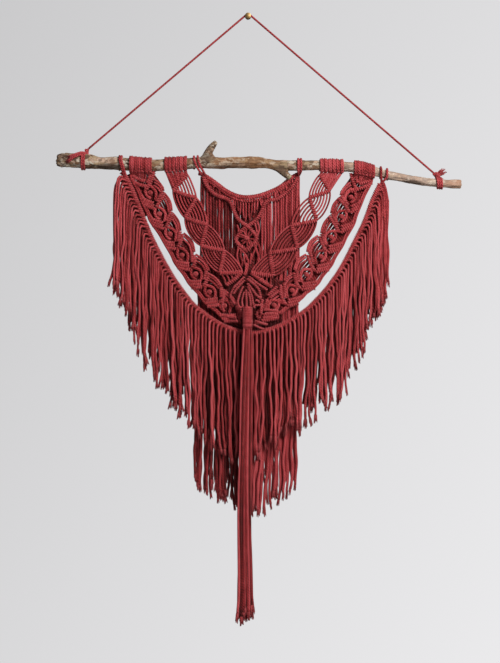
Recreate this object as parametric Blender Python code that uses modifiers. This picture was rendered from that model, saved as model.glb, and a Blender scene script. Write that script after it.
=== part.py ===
"""A macrame wall hanging on a driftwood branch, held up by a taut cord over one nail.

The origin is the flat wall end of the nail. X runs to the right along the branch, Z runs up,
and the hanging faces -Y. Tables are in millimetres: x from the nail, drop down from the nail,
depth out from the wall. The macrame is tied from strands that run from one ridged bar of
half hitches to the next, so each band is one solid of bars, strands and mounting loops.
"""
import math
from collections import namedtuple

import bmesh
import bpy
from mathutils import Vector
from mathutils.bvhtree import BVHTree

MM = 0.001

# Columns of the tables below.
Section = namedtuple("Section", "x drop radius")
LimbSection = namedtuple("LimbSection", "x drop depth radius")
Place = namedtuple("Place", "x drop")
Span = namedtuple("Span", "first_x last_x")
Root = namedtuple("Root", "end_x root_x")
Row = namedtuple("Row", "depth shift length")
Bundle = namedtuple("Bundle", "depth_offset count")
Chevron = namedtuple("Chevron", "outer_x outer_drop apex_x apex_drop inner_x inner_drop "
                                "berry_x berry_drop")


def table(columns, rows):
    return [columns(*row) for row in rows]


# Branch: centre line and radius, from its broken left end to its sawn right end.
BRANCH_DEPTH = 18.0
BRANCH_SIDES = 10
BRANCH = table(Section, (
    (-306, 234, 8.5), (-299, 234, 10.9), (-282, 234, 11.6), (-259, 235, 11.6), (-238, 238, 9.8),
    (-205, 239, 10.2), (-165, 242, 9.4), (-141, 242, 9.6), (-109, 240, 8.8), (-85, 238, 8.5),
    (-64, 237, 9.9), (-42, 238, 9.1), (-13, 238, 8.8), (6, 237, 9.6), (29, 239, 8.0),
    (56, 242, 8.5), (115, 242, 8.0), (155, 244, 8.3), (182, 247, 8.5), (203, 252, 7.7),
    (227, 258, 6.9), (251, 263, 6.2), (291, 269, 6.9), (320, 272, 6.2), (341, 273, 5.8),
))
LIMB_SIDES = 6
TWIG = table(LimbSection, (
    (-68, 235, 18, 7.0), (-62, 222, 18, 5.8), (-56, 213, 18.5, 5.4), (-50, 205, 18.5, 4.8),
))
STUB = table(LimbSection, (
    (45, 243, 18, 5.8), (54, 251, 19, 5.1), (62, 258, 20, 4.8), (68, 263, 21, 4.5),
))

# Nail and hanging cord.
NAIL_SHANK_RADIUS = 1.5
NAIL_SHANK_LENGTH = 9.0
NAIL_HEAD_RADIUS = 4.8
NAIL_HEAD_THICKNESS = 1.6
NAIL_HEAD_CROWN = 0.7
NAIL_SIDES = 16
CORD_RADIUS = 1.6
CORD_DEPTH_AT_NAIL = 5.0
CORD_STRAIGHT_POINTS = 26
LEFT_KNOT = Place(-258, 217.5)
RIGHT_KNOT = Place(300, 256.5)
KNOT_RADIUS = 4.2
LEFT_TAIL = ((-266, 240, 31.5), (-276, 236, 31.5), (-290, 233, 31.5))
RIGHT_TAIL = ((309, 261, 22.5), (314, 256, 21.5), (318, 249, 20.5))
TAIL_RADIUS = 1.9
CLEARANCE = 0.35

# Loops that hang the work on the branch.
LOOP_SIDES = 8
LOOP_GAP = 0.5
LOOP_WALL = 3.4
LOOP_RIDGE = 0.9
LOOP_PITCH = 9.0
LOOP_MARGIN = 0.06
LOOP_FOOT_PART = 0.75
HOLE_OVERRUN = 2.0

# Cord sizes in the knotted work and in the fringes.
BAR_RADIUS = 3.3
BAR_SIDES = 4
BAR_PITCH = 14.0
RIDGE_DEPTH = 0.22
STRAND_RADIUS = 2.1
STRAND_SIDES = 3
FRINGE_RADIUS = 3.3

# Depths of the layers, out from the wall.
CENTRE_DEPTH = 9.0
SWAG_DEPTH = 10.5
CROSSING_DEPTH = 13.6
DIAMOND_DEPTH = 16.5
FAN_DEPTH = 19.0
ROPE_DEPTH = 20.0
LEAF_DEPTH = 22.0
TASSEL_DEPTH = 36.0

# Where each row of loops and each wrap of cord sits along the branch.
LEFT_WRAPS = Span(-268, -260)
RIGHT_WRAPS = Span(301, 314)
DIAMOND_LEFT_LOOPS = Span(-190, -154)
DIAMOND_RIGHT_LOOPS = Span(170, 203)
FAN_LEFT_LOOPS = Span(-134, -98)
FAN_RIGHT_LOOPS = Span(114, 152)
ROPE_LOOPS = table(Span, ((-206, -198), (209, 216), (220, 227)))
SWAG_LOOPS = table(Span, ((-89, -84), (-82, -77), (79, 86)))

# Diamond bands: each chevron bar runs from its outer end through its apex to its inner end,
# with a berry knot cradled above it.
CHEVRONS_LEFT = table(Chevron, (
    (-186, 261, -162, 272, -153, 256, None, None),
    (-171, 296, -148, 309, -136, 278, -157, 286),
    (-157, 329, -133, 341, -123, 310, -142, 320),
    (-134, 365, -114, 373, -109, 342, -125, 352),
    (-117, 397, -91, 406, -90, 376, -106, 386),
    (-95, 429, -72, 434, -67, 406, -84, 416),
    (-70, 459, -45, 462, -43, 432, -62, 445),
    (-43, 483, -16, 488, -19, 461, -38, 467),
))
CHEVRONS_RIGHT = table(Chevron, (
    (198, 267, 176, 278, 168, 260, None, None),
    (186, 301, 162, 315, 149, 285, 165, 293),
    (170, 334, 146, 347, 134, 314, 150, 324),
    (152, 368, 126, 379, 118, 346, 133, 357),
    (134, 400, 107, 410, 99, 376, 117, 388),
    (112, 430, 83, 438, 78, 405, 94, 417),
    (85, 454, 61, 464, 56, 430, 71, 442),
    (52, 478, 20, 488, 29, 458, 42, 466),
))
BERRY_RADIUS = 5.6
OUTER_LINKS = (0.05, 0.48)
INNER_LINKS = (0.04, 0.42)
INNER_BULGE = 6.0
BERRY_FORWARD = 1.0
BERRY_CORD_START = Vector((0, 0.8, 0.3))
BERRY_CORD_END = Vector((0, -0.8, 0.9))
HEADING_PARTS = (0.1, 0.35, 0.6, 0.92)
HEADING_SPREAD = 1.3

# Fan bands: corners of the zigzag of bars, from the branch down to the centre.
FAN_LEFT = table(Place, (
    (-97, 257), (-120, 282), (-83, 294), (-101, 326), (-66, 337), (-75, 371), (-38, 378),
    (-45, 414), (-8.8, 413), (-35, 434),
))
FAN_RIGHT = table(Place, (
    (115, 257), (131, 283), (98, 294), (110, 330), (70, 338), (79, 375), (35, 382),
    (40, 419), (4.8, 414), (38, 437),
))
FAN_STRANDS = 4
FAN_ROUNDNESS = 0.97

# Centre panel: knotted edges of the swag, then the cords that cross in a V and a diamond.
SWAG_TOP = table(Place, (
    (-79, 253.5), (-69, 258), (-54, 268), (-32, 284), (-10, 292), (13, 291), (35, 284),
    (53, 275), (70, 261), (82, 254.5),
))
CROSSING_LEFT = table(Place, (
    (-72, 257), (-70, 266), (-64, 276), (-49, 287), (-32, 296), (-26, 306), (-18, 322),
    (-7, 333), (2, 340), (11, 352), (13, 362), (8, 374), (0, 389), (-2, 404),
))
CROSSING_RIGHT = table(Place, (
    (78, 256), (77, 266), (67, 280), (53, 291), (27, 298), (21, 313), (15, 326), (2, 336),
    (-7, 342), (-18, 359), (-13, 371), (-1, 386),
))
CROSSING_RADIUS = 2.8
DIAMOND_KNOT = Place(-2, 358)
DIAMOND_CORNERS = table(Place, ((-18, 357), (13, 359)))
PANEL_LEFT = Span(-72, -25)
PANEL_RIGHT = Span(25, 77)
PANEL_STRANDS = 10
PANEL_RADII = (1.9, 2.2, 3.0)
PANEL_MIDDLE_X = (-16, -6, 4, 14)
PANEL_MIDDLE_DROP = 334
PANEL_MIDDLE_SLOPE = 0.9
BACK_FRINGE = Span(-88, 75)
BACK_FRINGE_TURN = 400
BACK_FRINGE_ENDS = table(Place, (
    (-88, 747), (-66, 765), (-38, 773), (-15, 789), (19, 795), (38, 776), (66, 766), (75, 750),
))

# Outer rope and the fringe knotted along it.
ROPE_LEFT_START = Place(-202, 253)
ROPE_RIGHT_START = Place(213, 267)
ROPE = table(Place, (
    (-197, 259), (-192, 268), (-186, 280), (-173, 312), (-158, 349), (-142, 382), (-122, 418),
    (-101, 448), (-82, 470), (-50, 493), (-26, 504), (-2, 510), (11, 508), (34, 500),
    (58, 488), (82, 470), (106, 448), (129, 424), (147, 399), (162, 376), (176, 347),
    (190, 320), (200, 296), (208, 279),
))
ROPE_RADIUS = 3.6
ROPE_PITCH = 18.0
ROPE_TIE_RADIUS = 2.6
FRINGE_PITCH = 9.8
FRINGE = Span(-218, 221)
FRINGE_ROWS = table(Row, ((24.0, 0.0, 1.0), (16.4, 0.5, 0.97)))
FRINGE_ROOTS = table(Root, ((-218, -198), (-150, -145), (150, 148), (221, 209)))
FRINGE_ROOT_RADIUS = 2.4
FRINGE_UNEVENNESS = 8.0
FRINGE_WAVE = 2.4
FRINGE_ENDS = table(Place, (
    (-219, 430), (-209, 442), (-195, 475), (-184, 506), (-170, 547), (-146, 578), (-134, 608),
    (-106, 638), (-90, 666), (-55, 688), (-34, 707), (22, 700), (43, 682), (67, 662), (86, 660),
    (113, 632), (133, 622), (154, 600), (163, 575), (176, 547), (198, 492), (209, 482),
    (222, 440),
))
FRINGE_SHOULDER = 12.0
FRINGE_SHOULDER_PART = 0.45

# Leaves that gather the bands, and the tassel with its wrapped knot.
CORE = Place(-2, 413)
CORE_RADIUS = 5.4
LEAF_RADIUS = 2.6
LEAF_END_LENGTH = 4.0
LEAVES = (
    ((-5, 414), (-27, 448), (-24, 458), (-8, 462), (-5, 471.5)),
    ((-4, 416), (-14, 440), (-12, 458), (-2, 471.5)),
    ((0, 416), (7, 438), (6, 458), (1, 471.5)),
    ((1, 414), (22, 446), (18, 456), (6, 462), (4, 471.5)),
)
WRAP_TOP = 472.0
WRAP_BOTTOM = 500.0
WRAP_RADIUS = 8.6
WRAP_X = -0.8
WRAP_TURNS = 5
WRAP_GROOVE = 0.9
TASSEL_ROOT = 4.0
TASSEL_BUNDLES = table(Bundle, ((-4.8, 6), (0.0, 5), (4.8, 6)))
TASSEL_PITCH = 4.4
TASSEL_RADIUS = 2.3
TASSEL_PATH = table(Place, ((-2.5, 640), (-6.0, 789), (-4.5, 918)))
TASSEL_END_X = -4.5
TASSEL_ENDS = (966, 972, 961, 975, 968)


def clear_scene():
    for scene_object in list(bpy.data.objects):
        bpy.data.objects.remove(scene_object, do_unlink=True)


def at(x, drop, depth):
    """Point from its distance right of the nail, below it and out from the wall."""
    return Vector((x, -depth, -drop)) * MM


def make_material(name, colour, roughness, metallic=0.0):
    material = bpy.data.materials.new(name)
    material.use_nodes = True
    shader = material.node_tree.nodes["Principled BSDF"]
    shader.inputs["Base Color"].default_value = (*colour, 1.0)
    shader.inputs["Roughness"].default_value = roughness
    shader.inputs["Metallic"].default_value = metallic
    return material


def make_profile(sides):
    """Closed outline of unit radius that strands and bars are swept from."""
    curve = bpy.data.curves.new(f"profile_{sides}", "CURVE")
    spline = curve.splines.new("POLY")
    spline.points.add(sides - 1)
    for index, point in enumerate(spline.points):
        angle = 2 * math.pi * index / sides
        point.co = (math.cos(angle), math.sin(angle), 0, 1)
    spline.use_cyclic_u = True
    profile = bpy.data.objects.new(curve.name, curve)
    cutters.objects.link(profile)
    return profile


def mesh_from_curve(curve):
    """Mesh of a swept curve with its end caps welded on."""
    sweep = bpy.data.objects.new("sweep", curve)
    cutters.objects.link(sweep)
    evaluated = sweep.evaluated_get(bpy.context.evaluated_depsgraph_get())
    mesh = bpy.data.meshes.new_from_object(evaluated)
    bpy.data.objects.remove(sweep)
    surface = bmesh.new()
    surface.from_mesh(mesh)
    bmesh.ops.remove_doubles(surface, verts=surface.verts, dist=0.00001)
    bmesh.ops.recalc_face_normals(surface, faces=surface.faces)
    surface.to_mesh(mesh)
    surface.free()
    return mesh


def tube(points, radii, sides):
    """Closed tube through the points, with a radius in millimetres at each."""
    curve = bpy.data.curves.new("tube", "CURVE")
    curve.dimensions = "3D"
    curve.bevel_mode = "OBJECT"
    curve.bevel_object = profiles[sides]
    curve.use_fill_caps = True
    spline = curve.splines.new("POLY")
    spline.points.add(len(points) - 1)
    for point, place, radius in zip(spline.points, points, radii):
        point.co = (*place, 1)
        point.radius = radius * MM
    return mesh_from_curve(curve)


def ridged(points, radius, pitch, sides):
    """Tube whose radius swells and narrows once a pitch, like a row of half hitches."""
    places = [points[0]]
    for start, end in zip(points, points[1:]):
        steps = max(1, round((end - start).length / (pitch * MM / 2)))
        places += [start.lerp(end, step / steps) for step in range(1, steps + 1)]
    narrow = radius * (1 - RIDGE_DEPTH)
    radii = [radius if index % 2 else narrow for index in range(len(places))]
    radii[-1] = narrow
    return tube(places, radii, sides)


def strand(points, radius=STRAND_RADIUS):
    return tube(points, [radius] * len(points), STRAND_SIDES)


def table_value(table, x):
    """Value at x in a table whose rows start with x, read in a straight line between rows."""
    if x <= table[0][0]:
        return table[0][1:]
    for first, last in zip(table, table[1:]):
        if x <= last[0]:
            part = (x - first[0]) / (last[0] - first[0])
            return tuple(a + (b - a) * part for a, b in zip(first[1:], last[1:]))
    return table[-1][1:]


def joined(name, meshes, material):
    """One object that holds all the meshes."""
    surface = bmesh.new()
    for mesh in meshes:
        surface.from_mesh(mesh)
        bpy.data.meshes.remove(mesh)
    mesh = bpy.data.meshes.new(name)
    surface.to_mesh(mesh)
    surface.free()
    mesh.materials.append(material)
    return bpy.data.objects.new(name, mesh)


def separate_sets(meshes):
    """The meshes sorted into sets in which no two touch, so each set is a clean solid."""
    sets = []
    for mesh in meshes:
        surface = bmesh.new()
        surface.from_mesh(mesh)
        tree = BVHTree.FromBMesh(surface)
        surface.free()
        for group in sets:
            if not any(tree.overlap(other) for _, other in group):
                group.append((mesh, tree))
                break
        else:
            sets.append([(mesh, tree)])
    return [[mesh for mesh, _ in group] for group in sets]


def fuse(name, meshes, material):
    """One solid of all the meshes, joined set by set."""
    first_set, *other_sets = separate_sets(meshes)
    body = joined(name, first_set, material)
    hanging.objects.link(body)
    for index, group in enumerate(other_sets):
        tool = joined(f"{name}_set_{index}", group, material)
        tool.hide_render = True
        tool.display_type = "WIRE"
        cutters.objects.link(tool)
        union = body.modifiers.new(f"union_{index}", "BOOLEAN")
        union.operation = "UNION"
        union.solver = "MANIFOLD"
        union.object = tool
    return body


def loop_radius(radius):
    """Corner radius of an eight-sided ring whose flats lie at this radius."""
    return radius / math.cos(math.pi / LOOP_SIDES)


def loop_hole(span):
    """Cutter that follows the branch through a row of loops."""
    first_x = span.first_x - HOLE_OVERRUN
    last_x = span.last_x + HOLE_OVERRUN
    stations = [first_x, *(row.x for row in BRANCH if first_x < row.x < last_x), last_x]
    points = []
    radii = []
    for x in stations:
        drop, radius = table_value(BRANCH, x)
        points.append(at(x, drop, BRANCH_DEPTH))
        radii.append(loop_radius(radius + LOOP_GAP))
    return tube(points, radii, LOOP_SIDES)


def loops(span):
    """Ridged collar of loops round the branch, open through the middle."""
    ridges = max(1, round((span.last_x - span.first_x) / LOOP_PITCH))
    points = []
    radii = []
    for step in range(2 * ridges + 1):
        x = span.first_x + (span.last_x - span.first_x) * step / (2 * ridges)
        drop, radius = table_value(BRANCH, x)
        ridge = LOOP_RIDGE if step % 2 else 0.0
        points.append(at(x, drop, BRANCH_DEPTH))
        radii.append(loop_radius(radius + LOOP_GAP + LOOP_WALL + ridge))
    collar = bpy.data.objects.new("collar", tube(points, radii, LOOP_SIDES))
    hole = bpy.data.objects.new("hole", loop_hole(span))
    for helper in (collar, hole):
        cutters.objects.link(helper)
    cut = collar.modifiers.new("hole", "BOOLEAN")
    cut.operation = "DIFFERENCE"
    cut.solver = "EXACT"
    cut.object = hole
    evaluated = collar.evaluated_get(bpy.context.evaluated_depsgraph_get())
    mesh = bpy.data.meshes.new_from_object(evaluated)
    for helper in (collar, hole):
        bpy.data.objects.remove(helper)
    return mesh


def loop_foot(x):
    """Lowest point of the collar wall at x, where strands leave it."""
    drop, radius = table_value(BRANCH, x)
    return at(x, drop + radius + LOOP_GAP + LOOP_WALL * LOOP_FOOT_PART, BRANCH_DEPTH)


def ball(place, radius, subdivisions=1):
    """Round knot with flat facets."""
    surface = bmesh.new()
    bmesh.ops.create_icosphere(surface, subdivisions=subdivisions, radius=radius * MM)
    bmesh.ops.translate(surface, verts=surface.verts, vec=place)
    mesh = bpy.data.meshes.new("ball")
    surface.to_mesh(mesh)
    surface.free()
    return mesh


def make_branch():
    trunk = tube([at(row.x, row.drop, BRANCH_DEPTH) for row in BRANCH],
                 [row.radius for row in BRANCH], BRANCH_SIDES)
    limbs = [tube([at(row.x, row.drop, row.depth) for row in limb],
                  [row.radius for row in limb], LIMB_SIDES) for limb in (TWIG, STUB)]
    fuse("branch", [trunk, *limbs], wood)


def make_nail():
    """Shank from the wall with a round head, turned as one profile about the Y axis."""
    rim = NAIL_SHANK_LENGTH + NAIL_HEAD_THICKNESS / 2
    crown = NAIL_SHANK_LENGTH + NAIL_HEAD_THICKNESS
    outline = ((0, 0), (NAIL_SHANK_RADIUS, 0), (NAIL_SHANK_RADIUS, NAIL_SHANK_LENGTH),
               (NAIL_HEAD_RADIUS, NAIL_SHANK_LENGTH), (NAIL_HEAD_RADIUS, rim),
               (NAIL_HEAD_RADIUS * NAIL_HEAD_CROWN, crown), (0, crown))
    mesh = bpy.data.meshes.new("nail")
    places = [(radius * MM, -depth * MM, 0) for radius, depth in outline]
    mesh.from_pydata(places, [(i, i + 1) for i in range(len(places) - 1)], [])
    mesh.materials.append(brass)
    nail = bpy.data.objects.new("nail", mesh)
    hanging.objects.link(nail)
    turn = nail.modifiers.new("turn", "SCREW")
    turn.axis = "Y"
    turn.steps = NAIL_SIDES
    turn.render_steps = NAIL_SIDES
    turn.use_merge_vertices = True
    turn.merge_threshold = 0.0001
    turn.use_normal_calculate = True


def cord_route():
    """Centre line of the hanging cord, from the left knot over the nail to the right knot."""
    bend = (NAIL_SHANK_RADIUS + CLEARANCE + CORD_RADIUS) * MM
    shank = at(0, 0, CORD_DEPTH_AT_NAIL)
    halves = []
    for knot, side in ((LEFT_KNOT, -1), (RIGHT_KNOT, 1)):
        slope = math.atan2(knot.drop, abs(knot.x)) - math.asin(bend / MM / math.hypot(*knot))
        leave = shank + Vector((side * math.sin(slope), 0, math.cos(slope))) * bend
        knot_place = at(*knot, BRANCH_DEPTH)
        start = knot_place + (leave - knot_place).normalized() * (KNOT_RADIUS + CLEARANCE) * MM
        run = [start.lerp(leave, step / CORD_STRAIGHT_POINTS)
               for step in range(CORD_STRAIGHT_POINTS + 1)]
        arc = [shank + Vector((side * math.sin(slope * part), 0, math.cos(slope * part))) * bend
               for part in (2 / 3, 1 / 3)]
        halves.append(run + arc)
    return halves[0] + [shank + Vector((0, 0, bend))] + halves[1][::-1]


def make_cord():
    curve = bpy.data.curves.new("hanging_cord", "CURVE")
    curve.dimensions = "3D"
    curve.bevel_depth = CORD_RADIUS * MM
    curve.bevel_resolution = 2
    curve.use_fill_caps = True
    route = cord_route()
    spline = curve.splines.new("POLY")
    spline.points.add(len(route) - 1)
    for point, place in zip(spline.points, route):
        point.co = (*place, 1)
    mesh = mesh_from_curve(curve)
    mesh.materials.append(cotton)
    hanging.objects.link(bpy.data.objects.new("hanging_cord", mesh))


def make_tie(name, knot, wraps, tail):
    """Wraps of the cord round the branch, the knot on top and the tail beside it."""
    knot_ball = ball(at(*knot, BRANCH_DEPTH), KNOT_RADIUS, 2)
    tail_cord = strand([at(*place) for place in tail], TAIL_RADIUS)
    fuse(name, [loops(wraps), knot_ball, tail_cord], cotton)


def links(first, last, parts, bulge=0.0):
    """Strands between two bars, each a share of the way along both of them."""
    made = []
    for part in parts:
        start = first[0].lerp(first[1], part)
        end = last[0].lerp(last[1], part)
        middle = start.lerp(end, 0.5) + Vector((bulge * (1 - part) * MM, 0, 0))
        made.append(strand([start, middle, end]))
    return made


def make_diamond_band(name, span, chevrons, side):
    """Chevron bars and berry knots, linked by strands at the edges and through the middle."""
    outer_arms = []
    inner_arms = []
    for row in chevrons:
        apex = at(row.apex_x, row.apex_drop, DIAMOND_DEPTH)
        outer_arms.append((at(row.outer_x, row.outer_drop, DIAMOND_DEPTH), apex))
        inner_arms.append((at(row.inner_x, row.inner_drop, DIAMOND_DEPTH), apex))
    pieces = [loops(span)]
    pieces += [ridged([outer, apex, inner], BAR_RADIUS, BAR_PITCH, BAR_SIDES)
               for (outer, apex), (inner, _) in zip(outer_arms, inner_arms)]
    for step, row in enumerate(chevrons[1:]):
        berry = at(row.berry_x, row.berry_drop, DIAMOND_DEPTH + BERRY_FORWARD)
        above = outer_arms[step][1] + BERRY_CORD_START * MM
        below = outer_arms[step + 1][1] + BERRY_CORD_END * MM
        pieces.append(ball(berry, BERRY_RADIUS))
        pieces.append(strand([above, berry, below]))
        pieces += links(outer_arms[step], outer_arms[step + 1], OUTER_LINKS)
        pieces += links(inner_arms[step], inner_arms[step + 1], INNER_LINKS, side * INNER_BULGE)
    near, far = span if side > 0 else span[::-1]
    outer, apex = outer_arms[0]
    ends = [outer.lerp(apex, part * HEADING_SPREAD) for part in HEADING_PARTS[:-1]]
    ends.append(inner_arms[0][0])
    pieces += [strand([loop_foot(near + (far - near) * part), end])
               for part, end in zip(HEADING_PARTS, ends)]
    fuse(name, pieces, cotton)


def fan_strand(hinge, first, last, part):
    """Strand that arcs round the hinge where two bars meet."""
    start = hinge.lerp(first, part)
    end = hinge.lerp(last, part)
    reach = ((start - hinge).length + (end - hinge).length) / 2
    middle = hinge + ((start + end) / 2 - hinge).normalized() * reach * FAN_ROUNDNESS
    return strand([start, middle, end])


def make_fan_band(name, span, corners):
    """Zigzag of half-hitch bars with strands fanned round each corner."""
    places = [at(corner.x, corner.drop, FAN_DEPTH) for corner in corners]
    pieces = [loops(span)]
    pieces += [ridged([first, last], BAR_RADIUS, BAR_PITCH, BAR_SIDES)
               for first, last in zip(places, places[1:])]
    for first, hinge, last in zip(places, places[1:], places[2:]):
        pieces += [fan_strand(hinge, first, last, (step + 1) / (FAN_STRANDS + 0.2))
                   for step in range(FAN_STRANDS)]
    near, far = span if places[1].x < places[0].x else span[::-1]
    for step in range(FAN_STRANDS):
        part = (step + 0.3) / FAN_STRANDS
        foot = loop_foot(near + (far - near) * (LOOP_MARGIN + (1 - 2 * LOOP_MARGIN) * part))
        pieces.append(strand([foot, places[1].lerp(places[0], part)]))
    fuse(name, pieces, cotton)


def swag_drop(x):
    return table_value(SWAG_TOP, x)[0]


def make_centre_panel():
    """Swag with its two knotted edges, the V and diamond, and the long back strands."""
    feet = [loop_foot((span.first_x + span.last_x) / 2) for span in SWAG_LOOPS]
    top = [at(*place, SWAG_DEPTH) for place in SWAG_TOP]
    pieces = [loops(span) for span in SWAG_LOOPS]
    pieces.append(ridged([feet[1], *top, feet[2]], BAR_RADIUS, BAR_PITCH, BAR_SIDES))
    pieces.append(strand([feet[0], top[1]]))
    for cord in (CROSSING_LEFT, CROSSING_RIGHT):
        points = [at(*place, CROSSING_DEPTH) for place in cord]
        pieces.append(tube(points, [CROSSING_RADIUS] * len(points), BAR_SIDES))
    pieces.append(ball(at(*DIAMOND_KNOT, CROSSING_DEPTH), BERRY_RADIUS))
    pieces.append(strand([at(*corner, CROSSING_DEPTH) for corner in DIAMOND_CORNERS]))
    for x in PANEL_MIDDLE_X:
        low = PANEL_MIDDLE_DROP - abs(x) * PANEL_MIDDLE_SLOPE
        pieces.append(strand([at(x, swag_drop(x), CENTRE_DEPTH), at(x, low, CENTRE_DEPTH)]))
    count = 2 * PANEL_STRANDS
    for index in range(count):
        span = PANEL_LEFT if index < PANEL_STRANDS else PANEL_RIGHT
        part = (index % PANEL_STRANDS) / (PANEL_STRANDS - 1)
        x = span.first_x + (span.last_x - span.first_x) * part
        low_x = (BACK_FRINGE.first_x
                 + (BACK_FRINGE.last_x - BACK_FRINGE.first_x) * index / (count - 1))
        end = table_value(BACK_FRINGE_ENDS, low_x)[0]
        points = [at(x, swag_drop(x), CENTRE_DEPTH), at(x, BACK_FRINGE_TURN, CENTRE_DEPTH),
                  at(low_x, end, CENTRE_DEPTH)]
        pieces.append(tube(points, PANEL_RADII, STRAND_SIDES))
    fuse("centre_panel", pieces, cotton)


def fringe_strand(row, end_x, unevenness):
    """Strand that leaves the rope, turns over its shoulder and falls to its end."""
    root_x = table_value(FRINGE_ROOTS, end_x)[0]
    root_drop = table_value(ROPE, root_x)[0]
    end_drop = table_value(FRINGE_ENDS, end_x)[0] * row.length + unevenness
    shoulder_x = root_x + (end_x - root_x) * FRINGE_SHOULDER_PART
    points = [at(root_x, root_drop, (row.depth + ROPE_DEPTH) / 2),
              at(shoulder_x, root_drop + FRINGE_SHOULDER, row.depth),
              at(end_x, end_drop, row.depth)]
    return tube(points, (FRINGE_ROOT_RADIUS, FRINGE_RADIUS, FRINGE_RADIUS), STRAND_SIDES)


def make_outer_fringe():
    """Rope slung from the branch, with two staggered layers of strands knotted along it."""
    route = [at(*ROPE_LEFT_START, BRANCH_DEPTH)]
    route += [at(*place, ROPE_DEPTH) for place in ROPE]
    route.append(at(*ROPE_RIGHT_START, BRANCH_DEPTH))
    last_loop = ROPE_LOOPS[-1]
    last_foot = loop_foot((last_loop.first_x + last_loop.last_x) / 2)
    pieces = [loops(span) for span in ROPE_LOOPS]
    pieces.append(ridged(route, ROPE_RADIUS, ROPE_PITCH, BAR_SIDES))
    pieces.append(strand([last_foot, route[-1]], ROPE_TIE_RADIUS))
    count = round((FRINGE.last_x - FRINGE.first_x) / FRINGE_PITCH)
    for row in FRINGE_ROWS:
        for index in range(count):
            part = (index + row.shift) / (count - 0.5)
            end_x = FRINGE.first_x + (FRINGE.last_x - FRINGE.first_x) * part
            unevenness = FRINGE_UNEVENNESS * math.sin(index * FRINGE_WAVE)
            pieces.append(fringe_strand(row, end_x, unevenness))
    fuse("outer_fringe", pieces, cotton)


def make_centre_leaves():
    """Knot where the bands meet, with the leaf-shaped loops that gather into the tassel."""
    pieces = [ball(at(*CORE, LEAF_DEPTH), CORE_RADIUS, 2)]
    for leaf in LEAVES:
        points = []
        for step, (x, drop) in enumerate(leaf):
            depth = LEAF_DEPTH + (TASSEL_DEPTH - LEAF_DEPTH) * step / (len(leaf) - 1)
            points.append(at(x, drop, depth))
        end_x, end_drop = leaf[-1]
        points.insert(-1, at(end_x, end_drop - LEAF_END_LENGTH, TASSEL_DEPTH))
        pieces.append(tube(points, [LEAF_RADIUS] * len(points), BAR_SIDES))
    fuse("centre_leaves", pieces, cotton)


def make_tassel():
    """Wrapped knot with the long strands that hang from it."""
    knot = []
    radii = []
    for step in range(2 * WRAP_TURNS + 1):
        drop = WRAP_TOP + (WRAP_BOTTOM - WRAP_TOP) * step / (2 * WRAP_TURNS)
        knot.append(at(WRAP_X, drop, TASSEL_DEPTH))
        radii.append(WRAP_RADIUS if step % 2 else WRAP_RADIUS * WRAP_GROOVE)
    pieces = [tube(knot, radii, BRANCH_SIDES)]
    root_drop = WRAP_BOTTOM - TASSEL_ROOT
    for bundle in TASSEL_BUNDLES:
        depth = TASSEL_DEPTH + bundle.depth_offset
        root_depth = TASSEL_DEPTH + bundle.depth_offset / 2
        for index in range(bundle.count):
            offset = (index - (bundle.count - 1) / 2) * TASSEL_PITCH
            end = TASSEL_ENDS[(index * 2 + bundle.count) % len(TASSEL_ENDS)]
            points = [at(WRAP_X + offset / 2, root_drop, root_depth)]
            points += [at(place.x + offset, place.drop, depth) for place in TASSEL_PATH]
            points.append(at(TASSEL_END_X + offset, end, depth))
            pieces.append(strand(points, TASSEL_RADIUS))
    fuse("tassel", pieces, cotton)


clear_scene()
hanging = bpy.data.collections.new("macrame_wall_hanging")
cutters = bpy.data.collections.new("cutters")
for collection in (hanging, cutters):
    bpy.context.scene.collection.children.link(collection)
cotton = make_material("cotton", (0.38, 0.03, 0.04), 0.9)
wood = make_material("wood", (0.42, 0.3, 0.2), 0.8)
brass = make_material("brass", (0.6, 0.42, 0.18), 0.35, 1.0)
profiles = {sides: make_profile(sides)
            for sides in (STRAND_SIDES, BAR_SIDES, LIMB_SIDES, LOOP_SIDES, BRANCH_SIDES)}

make_branch()
make_nail()
make_cord()
make_tie("left_tie", LEFT_KNOT, LEFT_WRAPS, LEFT_TAIL)
make_tie("right_tie", RIGHT_KNOT, RIGHT_WRAPS, RIGHT_TAIL)
make_centre_panel()
make_diamond_band("diamond_band_left", DIAMOND_LEFT_LOOPS, CHEVRONS_LEFT, 1)
make_diamond_band("diamond_band_right", DIAMOND_RIGHT_LOOPS, CHEVRONS_RIGHT, -1)
make_fan_band("fan_band_left", FAN_LEFT_LOOPS, FAN_LEFT)
make_fan_band("fan_band_right", FAN_RIGHT_LOOPS, FAN_RIGHT)
make_outer_fringe()
make_centre_leaves()
make_tassel()
for profile in profiles.values():
    bpy.data.objects.remove(profile)
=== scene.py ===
# %% [markdown]
# # A macrame wall hanging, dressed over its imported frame
# The frame holds the plain CAD solids at their true places. Each of them is replaced here by a
# piece that shows what the maker's hands did: wraps, half hitches, berry knots and frayed ends.
# We start by loading the frame, because every later piece takes its place from it.

# %% Load the frame
import math
import random

import bpy
import numpy as np
from mathutils import Matrix, Vector, noise


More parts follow.
